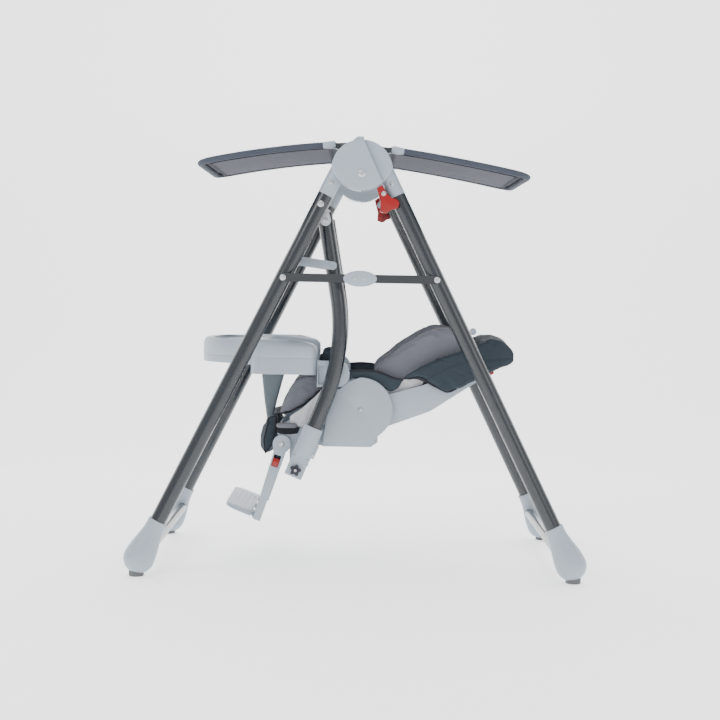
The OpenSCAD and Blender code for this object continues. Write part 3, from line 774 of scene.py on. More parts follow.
@dataclass(frozen=True)
class Finish:
    """How one kind of surface looks.

    Attributes:
        name: The material's name.
        colour: Its main colour, linear.
        rough: Its roughness.
    """

    name: str
    colour: Colour
    rough: float

    def material(self) -> bpy.types.Material:
        """The finish's material, made once."""
        if self.name not in bpy.data.materials:
            tree = ShaderTree(self.name)
            self.paint(tree)
        return bpy.data.materials[self.name]

    def paint(self, tree: ShaderTree) -> None:
        """Builds the nodes."""
        tree.set(Base_Color=(*self.colour, 1.0), Roughness=self.rough)

    def shade(self, k: float) -> Colour:
        """The main colour, k times as bright."""
        return tuple(min(1.0, c * k) for c in self.colour)


@dataclass(frozen=True)
class Backdrop(Finish):
    """Matt studio paper that gives off a little light of its own."""

    glow: float = 1.0

    def paint(self, tree: ShaderTree) -> None:
        """Builds the nodes."""
        tree.set(Base_Color=(*self.colour, 1.0), Roughness=self.rough)
        tree.set(Emission_Color=(1.0, 1.0, 1.0, 1.0), Emission_Strength=self.glow)


@dataclass(frozen=True)
class TubePaint(Finish):
    """Powder coat on tube: orange peel, fine flake and a few dull scuffs."""

    def paint(self, tree: ShaderTree) -> None:
        """Builds the nodes."""
        flake = tree.grain(2600, 1.0).ease(0.58, 0.72)
        cloudy = tree.grain(7, 4.0)
        scuff = tree.grain(38, 6.0, (1, 1, 0.25)).ease(0.6, 0.78)
        base = tree.blend(cloudy * 0.5, self.shade(0.88), self.shade(1.2))
        flecked = tree.blend(flake * 0.16, self.colour, self.shade(2.6), base)
        tree.set(Base_Color=flecked, Roughness=self.rough + scuff * 0.16 + cloudy * 0.04)
        tree.set(Coat_Weight=0.35, Coat_Roughness=0.16, Specular_IOR_Level=0.55)
        peel = tree.grain(240, 2.0) + flake * 0.15
        tree.set(Normal=tree.bump(peel, 0.00025, 0.35))


@dataclass(frozen=True)
class Moulding(Finish):
    """Injection-moulded plastic with spark grain, flow marks and rubbed patches.

    Attributes:
        grain: Height of the grain, in metres.
        mottle: How much its colour varies.
    """

    grain: float = 0.00012
    mottle: float = 0.07

    def paint(self, tree: ShaderTree) -> None:
        """Builds the nodes."""
        flow = tree.grain(5, 3.0, (1, 1, 2.2))
        dust = tree.grain(60, 5.0).ease(0.5, 0.85)
        base = tree.blend(flow, self.shade(1 - self.mottle), self.shade(1 + self.mottle))
        soiled = tree.blend(dust * 0.12, self.colour, self.shade(0.72), base)
        rubbed = tree.grain(16, 5.0).ease(0.52, 0.72)
        tree.set(Base_Color=soiled, Roughness=self.rough + dust * 0.08 - rubbed * 0.1)
        tree.set(Normal=tree.bump(tree.grain(1500, 3.0) + flow * 0.4, self.grain, 0.5))


@dataclass(frozen=True)
class Metal(Finish):
    """Zinc-plated steel with drawn lines."""

    def paint(self, tree: ShaderTree) -> None:
        """Builds the nodes."""
        drawn = tree.grain(900, 3.0, (0.08, 1, 1))
        tarnish = tree.grain(90, 4.0).ease(0.5, 0.8)
        base = tree.blend(tarnish * 0.5, self.colour, self.shade(0.7))
        tree.set(Base_Color=base, Metallic=1.0, Roughness=self.rough + drawn * 0.12 + tarnish * 0.1)
        tree.set(Normal=tree.bump(drawn, 0.0001, 0.4))


@dataclass(frozen=True)
class Rubber(Finish):
    """Moulded rubber with dust in its pores."""

    def paint(self, tree: ShaderTree) -> None:
        """Builds the nodes."""
        pores = tree.grain(700, 4.0)
        dust = tree.grain(45, 5.0).ease(0.48, 0.75)
        dusty = tree.blend(dust * 0.45, self.colour, self.shade(1.9))
        tree.set(Base_Color=dusty, Roughness=self.rough + dust * 0.1)
        tree.set(Normal=tree.bump(pores, 0.0003, 0.6))


@dataclass(frozen=True)
class Cloth(Finish):
    """Woven or knitted cloth: threads, slubs and faded folds, with a second colour on the gusset.

    Attributes:
        pitch: Distance between threads, in metres.
        relief: Height of the threads, in metres.
        edge: Colour of the gusset, where the piece has one.
        crumple: Height of the small creases, in metres.
    """

    pitch: float = 0.0014
    relief: float = 0.0003
    edge: Colour | None = None
    crumple: float = 0.0015

    def paint(self, tree: ShaderTree) -> None:
        """Builds the nodes."""
        parts = tree.node("ShaderNodeSeparateXYZ", {}, {0: tree.place})
        x, y, z = (Expr(tree, parts.outputs[i]) for i in range(3))
        turns = math.tau / self.pitch
        slant = (y + z) * 0.7071
        other = (y - z) * 0.7071
        weave = (x * turns).sine() * 0.33 + (slant * turns).sine() * 0.33 + (other * turns).sine() * 0.33
        threads = weave * 0.5 + 0.5
        slub = tree.grain(850, 3.0, (1, 0.35, 0.35))
        faded = tree.grain(11, 5.0)
        colour = tree.blend(threads * 0.45 + slub * 0.55, self.shade(0.72), self.shade(1.26))
        if self.edge:
            facing = tree.node("ShaderNodeTexCoord").outputs["Normal"]
            parts = tree.node("ShaderNodeSeparateXYZ", {}, {0: facing})
            rim = 1.0 - Expr(tree, parts.outputs[0]).size().ease(0.3, 0.62)
            colour = tree.blend(rim, self.colour, self.edge, colour)
        colour = tree.blend(faded.ease(0.35, 0.8) * 0.2, self.colour, self.shade(1.45), colour)
        tree.set(Base_Color=colour, Roughness=self.rough + slub * 0.08)
        tree.set(Sheen_Weight=0.06, Sheen_Roughness=0.45, Specular_IOR_Level=0.2)
        folds = tree.grain(34, 3.0, (0.6, 1.0, 1.3))
        creased = tree.bump(folds, self.crumple, 0.5)
        fine = tree.node("ShaderNodeBump", {}, {
            "Strength": 0.6, "Distance": self.relief, "Height": threads + slub * 0.6, "Normal": creased
        })
        tree.set(Normal=fine.outputs[0])


TUBE = TubePaint("dark slate powder coat", (0.008, 0.013, 0.019), 0.25)
STAY = TubePaint("slate stay paint", (0.009, 0.013, 0.018), 0.40)
LIGHT = Moulding("light grey moulding", (0.32, 0.375, 0.435), 0.38)
COVER = Moulding("cool grey side moulding", (0.305, 0.352, 0.405), 0.4)
POST = Moulding("mid grey moulding", (0.135, 0.170, 0.195), 0.42)
RED = Moulding("red moulding", (0.27, 0.0, 0.001), 0.27, grain=0.00006, mottle=0.1)
INK = Moulding("ink blue moulding", (0.008, 0.008, 0.020), 0.45)
STEEL = Metal("zinc plate", (0.60, 0.61, 0.63), 0.28)
RUBBER = Rubber("grey rubber", (0.11, 0.115, 0.12), 0.72)
PURPLE = Cloth("purple grey knit", (0.140, 0.146, 0.172), 0.86, edge=(0.150, 0.143, 0.134))
THIGH = Cloth("purple grey seat knit", (0.140, 0.146, 0.172), 0.86, edge=(0.050, 0.046, 0.044))
SLATE = Cloth("dark slate cloth", (0.030, 0.041, 0.052), 0.84, crumple=0.0028)
FLAP = Cloth("deep slate cloth", (0.030, 0.040, 0.051), 0.84, crumple=0.0024)
CANOPY = Cloth("canopy cloth", (0.055, 0.064, 0.085), 0.82, pitch=0.0011, crumple=0.001)
UNDER = Cloth("canopy lining", (0.048, 0.053, 0.072), 0.86, pitch=0.0011, crumple=0.001)
LINER = Cloth("pale lining", (0.56, 0.555, 0.60), 0.88, crumple=0.002)
CORD = Cloth("charcoal piping", (0.018, 0.020, 0.026), 0.8, pitch=0.0009, relief=0.0002)
THREAD = Cloth("grey thread", (0.05, 0.056, 0.07), 0.7, pitch=0.0006, relief=0.0001)


# Dressing -----------------------------------------------------------------------------------------


class Kit:
    """Trees that several assemblies share, and the steps that every new piece goes through."""

    def __init__(self) -> None:
        """Builds the trees."""
        self.piping = piping_tree()
        self.stitches = stitch_tree()
        self.screws = screw_tree()
        self.wing = wing_tree()

    def finish(self, piece: bpy.types.Object, body: str, slot: Slot, look: Finish) -> bpy.types.Object:
        """Gives a new piece its finish and body, and reports it."""
        piece.data.materials.clear()
        piece.data.materials.append(look.material())
        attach(piece, body)
        log.info("%s: %d faces on %s", piece.name, len(piece.data.polygons), body)
        return piece

    def dress(self, nodes: Iterable[str], look: Finish) -> None:
        """Gives CAD nodes their finish."""
        for node in nodes:
            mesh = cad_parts[node].data
            mesh.materials.clear()
            mesh.materials.append(look.material())

    def mould(self, node: str, body: str, look: Finish, width: float, slot: Slot = Slot.PLASTIC,
              steps: int = 3, where: Callable | None = None) -> None:
        """Replaces a CAD node by its copy with soft edges, or dresses the node where that isn't possible."""
        piece = softened(node, width, steps, where)
        if piece is None:
            self.dress([node], look)
            return
        self.finish(piece, body, slot, look)
        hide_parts(node)

    def cord(self, name: str, body: str | None, line: Sequence, radius: float, closed: bool = False,
             look: Finish = CORD, slot: Slot = Slot.SLATE) -> bpy.types.Object:
        """A sewn-in piping cord along points, in metres."""
        mesh = line_mesh(line, closed)
        piece = self.piping.grow(name, mesh, look, radius=radius, step=0.004)
        if body:
            self.finish(piece, body, slot, look)
        return piece

    def sew(self, name: str, body: str, lines: Sequence, pitch: float = 0.006, closed: bool = False,
            look: Finish = THREAD, slot: Slot = Slot.SLATE) -> bpy.types.Object:
        """Rows of stitches along points, in metres."""
        piece = self.stitches.grow(name, lines_mesh(lines, closed), look, pitch=pitch, length=pitch * 0.68)
        return self.finish(piece, body, slot, look)

    def heads(
        self, name: str, body: str, spots: Sequence[tuple[Sequence[float], Sequence[float], float]]
    ) -> None:
        """Screw heads: (place in mm, the way it faces, radius in mm) for each."""
        mesh = bpy.data.meshes.new(name)
        mesh.from_pydata([Vector(p) * MM for p, _, _ in spots], [], [])
        facing = mesh.attributes.new("facing", "FLOAT_VECTOR", "POINT")
        facing.data.foreach_set("vector", [c for _, n, _ in spots for c in n])
        radius = mesh.attributes.new("radius", "FLOAT", "POINT")
        radius.data.foreach_set("value", [r * MM for _, _, r in spots])
        self.finish(self.screws.grow(name, mesh, STEEL), body, Slot.STEEL, STEEL)


def pair(spots: Sequence[tuple[float, float, float, float]]) -> list:
    """Screw spots on both sides: (x, y, z, radius) on the left side, facing outwards."""
    return [((side.value * x, y, z), (side.value, 0, 0), r) for side in Side for x, y, z, r in spots]


@dataclass
class FoldingFrame:
    """The two leg frames, their hubs, latches, stays and lock hooks.

    Attributes:
        hub_z: Height of the fold axis.
        neck_screw: Place of a neck screw on the left, as (x, distance from the middle, z).
        stay: Place of a stay's rivet.
        soft_edge: Rounding of the small mouldings.
    """

    hub_z: float = 958.0
    neck_screw: tuple[float, float, float] = (277.2, 71.5, 936.0)
    stay: tuple[float, float] = (181.92, 711.0)
    soft_edge: float = 1.2

    def build(self, kit: Kit) -> None:
        """Dresses the frame and adds its screw heads."""
        sides = [f"{side.word}_{end.word}_" for side in Side for end in End]
        kit.dress([s + part for s in sides for part in ("leg_upper", "leg_lower")], TUBE)
        kit.dress(["front_floor_bar", "rear_floor_bar"], TUBE)
        kit.dress([s + part for s in sides for part in ("hub", "foot")], LIGHT)
        kit.dress(["front_foot_pads", "rear_foot_pads"], RUBBER)
        kit.dress(["front_bolts", "rear_bolts"], STEEL)
        kit.dress([s + "stay" for s in sides], STAY)
        kit.mould("stay_plates", "front_stays", LIGHT, 0.8, steps=2)
        for side in Side:
            kit.mould(f"{side.word}_fold_latch", f"{side.word}_latch", RED, self.soft_edge, Slot.RED)
            kit.mould(f"{side.word}_lock_hook", f"{side.word}_hook", LIGHT, 0.9, steps=2)
        self.fasten(kit)

    def fasten(self, kit: Kit) -> None:
        """Screw and rivet heads."""
        x, y, z = self.neck_screw
        reach, height = self.stay
        front = [(292.4, 0, self.hub_z, 6.6), (x, -y, z, 4.8)]
        front += [(281.4, -95.67, 886, 6.6), (298.2, -reach, height, 5.4)]
        rear = [(x, y, z, 4.8), (294.0, reach, height, 5.4), (288.6, 52, 912, 4.6)]
        kit.heads("front_frame_screws", "front_frame", pair(front))
        kit.heads("rear_frame_screws", "rear_frame", pair(rear))
        kit.heads("stay_plate_rivets", "front_stays", pair([(300.0, s * 12, height, 3.4) for s in (-1, 1)]))


@dataclass
class CanopyWing:
    """One cloth wing of the canopy on its bent rail.

    Attributes:
        end: Which end it covers.
        start: Where its rail leaves the hub, as (distance, height).
        tip: The middle of its far rail.
        bow: Radius of the side rails' arc.
        near: Where the cloth starts.
        half: Half the width between the rails' centres.
        corner: Radius of the rail's corners.
        hem: Radius of the sleeve that the rail runs in.
    """

    end: End
    start: Point2
    tip: Point2
    bow: float
    near: float
    half: float = 244.0
    corner: float = 45.0
    hem: float = 7.4

    def centre(self) -> Point2:
        """The centre of the side rails' arc."""
        (py, pz), (qy, qz) = self.start, self.tip
        reach = math.hypot(qy - py, qz - pz)
        rise = math.sqrt(self.bow**2 - reach**2 / 4)
        return (py + qy) / 2 + (qz - pz) / reach * rise, (pz + qz) / 2 - (qy - py) / reach * rise

    def height(self, y: float) -> float:
        """The rail's height at a distance from the hub plane."""
        cy, cz = self.centre()
        return cz + math.sqrt(self.bow**2 - (y - cy) ** 2)

    def loop(self, inset: float, lift: float, near: float) -> list[Vector]:
        """A line along the rail from side to side, inset from it and lifted, in metres."""
        half, tip = self.half - inset, self.tip[0] - inset
        r = max(self.corner - inset, 8.0)
        left = [(half, y) for y in np.linspace(near, tip - r, 30)]
        turns = np.linspace(0.1, math.pi / 2, 10)
        left += [(half - r + r * math.cos(a), tip - r + r * math.sin(a)) for a in turns]
        flat = left + [(-x, y) for x, y in left[::-1]]
        return [Vector((x, self.end.value * y, self.height(y) + lift)) * MM for x, y in flat]

    def cloth(self, kit: Kit, name: str, look: Finish, inset: float, near: float, drop: float, narrow: float,
              sag: float) -> bpy.types.Object:
        """One layer of cloth between the rails."""
        cy, cz = self.centre()
        seed = bpy.data.meshes.new(name)
        piece = kit.wing.grow(
            name, seed, look, end=float(self.end.value), wide=(self.half - inset) * MM, narrow=narrow * MM,
            step=0.066, start=near * MM, tip=(self.tip[0] - inset) * MM,
            corner=max(self.corner - inset, 8) * MM,
            centre_y=cy * MM, centre_z=cz * MM, bow=self.bow * MM, sag=sag * MM, drop=drop * MM,
        )
        bm = bmesh.new()
        bm.from_mesh(piece.data)
        bmesh.ops.remove_doubles(bm, verts=bm.verts, dist=1e-6)
        for face in bm.faces:
            face.smooth = True
        if sum(f.normal.z for f in bm.faces) < 0:
            bmesh.ops.reverse_faces(bm, faces=bm.faces)
        bm.to_mesh(piece.data)
        bm.free()
        thick = piece.modifiers.new("Thick", "SOLIDIFY")
        thick.thickness, thick.offset = 0.0014, 0.0
        return kit.finish(settle(piece), self.body, Slot.CANOPY, look)

    @property
    def body(self) -> str:
        """The body that the wing rides on."""
        return f"{self.end.word}_canopy"

    def build(self, kit: Kit) -> None:
        """Makes the cloth, its lining, sleeve, seams and hub sockets."""
        word = self.end.word
        kit.dress([f"{word}_canopy_frame"], TUBE)
        top = self.cloth(kit, f"{word}_canopy_cloth", CANOPY, 1.0, self.near, -4.6, 223.0, 5.0)
        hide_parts(f"{word}_canopy_fabric")
        under = self.cloth(kit, f"{word}_canopy_lining", UNDER, 24.0, 78.0, 5.2, 220.0, 3.0)
        sleeve = kit.cord(f"{word}_canopy_sleeve", self.body, self.loop(0, 0, 88), self.hem * MM, look=CANOPY,
                          slot=Slot.CANOPY)
        edge = self.loop(24.0, -5.6, 78)
        across = np.linspace(-200, 200, 40)
        edge += [Vector((x, self.end.value * 78, self.height(78) - 5.6)) * MM for x in across]
        border = kit.cord(f"{word}_lining_border", self.body, edge, 0.0021, closed=True)
        rows = [self.loop(11, 4.4, 92), self.loop(15, 4.2, 92)]
        seam = kit.sew(f"{word}_canopy_seam", self.body, rows, 0.0062)
        close = kit.sew(f"{word}_lining_seam", self.body, [self.loop(30, -6.4, 84)], 0.0062)
        self.sockets(kit)
        width, length = 2 * (self.half - 1) * MM, (self.tip[0] - self.near) * MM * 1.01
        width, length = 2 * (self.half - 24) * MM, (self.tip[0] - 102) * MM * 1.01

    def sockets(self, kit: Kit) -> None:
        """Conical plugs where the rail leaves the hub."""
        y = self.start[0] + 2
        rise = self.height(y + 30) - self.height(y)
        axis = Vector((0, self.end.value * 30.0, rise)).normalized()
        profile = [(0, 6.0), (0, 8.6), (2, 9.6), (14, 9.4), (27, 7.9), (30, 6.9), (30.5, 6.0)]
        for side in Side:
            at = (side.value * self.half, self.end.value * y, self.height(y))
            piece = lathe(f"{side.word}_{self.end.word}_rail_plug", profile, at, axis)
            kit.finish(piece, self.body, Slot.PLASTIC, LIGHT)


@dataclass
class SwingArms:
    """The arms that the seat hangs on, their hangers, sockets and knobs.

    Attributes:
        bolt: Place of the bolt at an arm's top.
        knob: Place of the star knob's axis.
    """

    bolt: tuple[float, float] = (-85.14, 849.0)
    knob: tuple[float, float] = (-147.75, 247.39)

    def build(self, kit: Kit) -> None:
        """Dresses the arms and adds their screw heads."""
        kit.dress(["left_swing_arm", "right_swing_arm"], TUBE)
        kit.dress(["arm_hangers", "seat_bolts"], STEEL)
        for side in Side:
            kit.mould(f"{side.word}_arm_socket", "swing", LIGHT, 2.0)
            kit.mould(f"{side.word}_star_knob", f"{side.word}_knob", INK, 0.9, Slot.KNOB, steps=2)
            spot = ((side.value * 238.1, *self.knob), (side.value, 0, 0), 3.4)
            kit.heads(f"{side.word}_knob_screw", f"{side.word}_knob", [spot])
        spots = [(230.6, *self.bolt, 5.6), (185.8, 7, 393, 4.8)]
        spots += [(184.6, -184, 305, 6.0), (211.2, -108, 281, 4.0)]
        kit.heads("seat_screws", "swing", pair(spots))


def ribbon(name: str, top: Sequence[Point2], low: Sequence[Point2], out: Callable[[float, float], float],
           rows: int = 14, thick: float = 1.6) -> bpy.types.Object:
    """A hanging panel of cloth between two side-view lines.

    Args:
        name: The piece's name.
        top: Its upper edge, in millimetres.
        low: Its lower edge.
        out: X in millimetres, from the shares along and down the panel.
        rows: Faces from edge to edge.
        thick: Its thickness, in millimetres.

    Returns:
        The panel, closed, on the left side.
    """
    a, b = (np.array(curved(line, 8, closed=False)) for line in (top, low))
    n = 60

    def at(line: np.ndarray, share: float) -> np.ndarray:
        """The point at a share of a line's length."""
        steps = np.concatenate([[0], np.cumsum(np.linalg.norm(np.diff(line, axis=0), axis=1))])
        return np.array([np.interp(share * steps[-1], steps, line[:, k]) for k in range(2)])

    bm = bmesh.new()
    grid = []
    for i in range(n + 1):
        p, q = at(a, i / n), at(b, i / n)
        column = []
        for j in range(rows + 1):
            v = j / rows
            y, z = p + (q - p) * v
            column.append(bm.verts.new((out(i / n, v) * MM, y * MM, z * MM)))
        grid.append(column)
    for i in range(n):
        for j in range(rows):
            bm.faces.new((grid[i][j], grid[i][j + 1], grid[i + 1][j + 1], grid[i + 1][j]))
    bmesh.ops.remove_doubles(bm, verts=bm.verts, dist=1e-5)
    bmesh.ops.dissolve_degenerate(bm, dist=1e-6, edges=bm.edges)
    piece = from_bmesh(name, bm)
    wall = piece.modifiers.new("Thick", "SOLIDIFY")
    wall.thickness, wall.offset = thick * MM, 0.0
    finer = piece.modifiers.new("Finer", "SUBSURF")
    finer.levels = finer.render_levels = 1
    return settle(piece)


@dataclass
class Seat:
    """The seat shell with its cushion, thigh wings, linings, bands and calf flap."""

    base: tuple = ((-189, 337), (-178, 311), (-90, 310), (33, 310), (42, 318), (45, 340), (10, 352),
                   (-150, 359))
    wing: tuple = ((-195, 372), (-194, 388), (-184, 414), (-174, 436), (-157, 461), (-132, 473), (-100, 472),
                   (-78, 462), (-82, 441), (-94, 428), (-112, 410), (-133, 394), (-165, 378))
    panel: tuple = ((-97, 496), (-98, 518), (-90, 531), (-72, 533), (-54, 528), (-48, 512), (-50, 496))
    flap: tuple = ((-225, 364), (-199, 373), (-197, 340), (-204, 298), (-229, 261), (-236, 305))

    def build(self, kit: Kit) -> None:
        """Makes and dresses every piece of the seat."""
        kit.mould("seat_shell", "swing", LIGHT, 2.0)
        for side in Side:
            kit.mould(f"{side.word}_side_cover", "swing", COVER, 2.2)
        kit.mould("armrests", "swing", LIGHT, 3.0, where=lambda p: abs(p.x) > 0.182 or abs(p.x) < 0.154)
        self.cushion(kit)
        self.thighs(kit)
        self.calf(kit)
        self.linings(kit)
        self.bands(kit)

    def cushion(self, kit: Kit) -> None:
        """The padded base with sewn channels across it."""
        piece = slab("seat_cushion", self.base, -114, 114)
        Padding(reach=0.013).swell(piece)
        channels = (-128, -72, -16)
        crease(piece, lambda p, n: max(n.z, 0) * sum(dent(p.y - c * MM, 0.006, 0.006) for c in channels))
        held_in(piece, 0, -115.4, 115.4)
        held_in(piece, 2, 307.6, 372)
        kit.finish(piece, "swing", Slot.PURPLE, PURPLE)
        skin = Surface(piece)
        rows = [[skin.over(x, c * MM, 0.0006) for x in np.linspace(-0.104, 0.104, 36)] for c in channels]
        kit.sew("seat_channel_stitches", "swing", rows, 0.007)
        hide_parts("seat_pad")

    def thighs(self, kit: Kit) -> None:
        """The raised wing on each side, with a piping cord along its lower edge."""
        piece = slab("left_thigh_wing", curved(self.wing, 3), 119, 149)
        Padding(reach=0.010, voxel=0.0045).swell(piece)
        crease(piece, lambda p, n: 0.0012 * noise.noise(Vector((p.x * 20, p.y * 45, p.z * 45))))
        held_in(piece, 0, 116.2, 151.6)
        skin, low = Surface(piece), self.wing[:1] + self.wing[:-7:-1]
        edge = [skin.near((0.1495, y, z), 0.0008) for y, z in metres(curved(low, 6, closed=False))]
        for side in Side:
            wing = piece if side is Side.LEFT else mirrored("right_thigh_wing", piece)
            kit.finish(wing, "swing", Slot.PURPLE, THIGH)
            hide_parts("seat_pad")
            line = [Vector((side.value * p.x, p.y, p.z)) for p in edge]
            kit.cord(f"{side.word}_thigh_piping", "swing", line, 0.0026)

    def calf(self, kit: Kit) -> None:
        """The padded flap in front of the seat, notched for the crotch post."""
        low = ((-228, 332), (-200, 332), (-204, 298), (-229, 262), (-235, 305))
        parts = [slab("a", self.flap, 28, 148), slab("b", self.flap, -148, -28)]
        parts.append(slab("calf_flap_pad", low, -29, 29))
        bm = bmesh.new()
        for part in parts:
            bm.from_mesh(part.data)
        bm.to_mesh(parts[2].data)
        bm.free()
        for part in parts[:2]:
            bpy.data.objects.remove(part)
        piece = parts[2]
        Padding(reach=0.008, shrink=0.002).swell(piece)

        def folds(p: Vector, n: Vector) -> float:
            """Hanging folds across the flap and a sewn line below its top."""
            hanging = 0.0028 * noise.noise(Vector((p.x * 26, p.y * 8, p.z * 9 + 3.0)))
            return hanging + dent(p.z - 0.352 - 0.1 * (p.y + 0.21), 0.005, 0.003)

        crease(piece, folds)
        held_in(piece, 1, -241, -192)
        kit.finish(piece, "swing", Slot.SLATE, FLAP)
        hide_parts("calf_flap")
        for side in Side:
            around = metres(curved(self.flap, 6))
            line = [Surface(piece).near((side.value * 0.147, y, z), 0.0006) for y, z in around]
            kit.cord(f"{side.word}_flap_piping", "swing", line, 0.0017, closed=True)

    def linings(self, kit: Kit) -> None:
        """Pale lining and a rolled edge over the front of the shell's sides, with a charcoal sheet below the
        roll that paints its shadow.
        """
        top = ((-166, 371), (-152, 382), (-133, 395), (-97, 430), (-84, 448), (-66, 450))
        low = ((-164, 357), (-148, 350), (-125, 346), (-105, 346), (-88, 350), (-70, 356))
        wave = lambda u, v: 171.0 + 1.6 * math.sin(u * 17 + v * 3.0) * math.sin(v * math.pi) + 1.0 * v
        self.hang(kit, "seat_lining", top, low, wave, LINER, Slot.PURPLE)
        # A charcoal sheet just below the rolled edge at the front: a painted shadow, not a real panel.
        top = ((-196, 345), (-180, 346), (-160, 346), (-140, 346))
        low = ((-196, 331), (-186, 329), (-165, 328), (-146, 330))
        self.hang(kit, "seat_front_shadow", top, low, lambda u, v: 169.3, CORD, Slot.SLATE)
        profile = [(0, 1.5), (1.5, 4.6), (5, 6.0), (24, 6.6), (45, 6.2), (49, 4.8), (50.5, 1.5)]
        for side in Side:
            piece = lathe(f"{side.word}_seat_roll", profile, (side.value * 175.4, -198, 350), (0, 1, 0), 24)
            kit.finish(piece, "swing", Slot.PURPLE, PURPLE)

    def hang(self, kit: Kit, name: str, top: Sequence, low: Sequence, out: Callable, look: Finish, slot: Slot,
             body: str = "swing") -> list[bpy.types.Object]:
        """A panel of cloth on each side."""
        made = []
        for side in Side:
            if side is Side.LEFT:
                piece = ribbon(f"left_{name}", top, low, out)
            else:
                piece = mirrored(f"right_{name}", made[0])
            kit.finish(piece, body, slot, look)
            made.append(piece)
        return made

    def bands(self, kit: Kit) -> None:
        """The dark panels inside the armrests, and the side bands."""
        top = ((-24, 486), (0, 488), (18, 488), (40, 486), (60, 481), (85, 471), (110, 466))
        low = ((-24, 470), (0, 466), (20, 462), (40, 456), (60, 447), (80, 437), (98, 446))
        out = lambda u, v: 172.6 + 1.3 * math.sin(v * math.pi) + 0.7 * math.sin(u * 14) * v
        panel = slab("left_armrest_panel", curved(self.panel, 3), 144.6, 150.8)
        Padding(voxel=0.004, shrink=0.001, reach=0.003).swell(panel)
        held_in(panel, 0, 143.8, 151.6)
        for side in Side:
            inner = panel if side is Side.LEFT else mirrored("right_armrest_panel", panel)
            kit.finish(inner, "swing", Slot.SLATE, SLATE)
            if side is Side.LEFT:
                first = piece = ribbon("left_side_band", top, low, out)
            else:
                piece = mirrored("right_side_band", first)
            piece.data.materials.clear()
            piece.data.materials.append(SLATE.material())
            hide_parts("side_bands")
            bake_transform(piece)
            line = [Vector((side.value * 174.0, y, z)) * MM for y, z in curved(top, 8, closed=False)]
            cord = kit.cord(f"{side.word}_band_piping", None, line, 0.0028)
            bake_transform(cord)


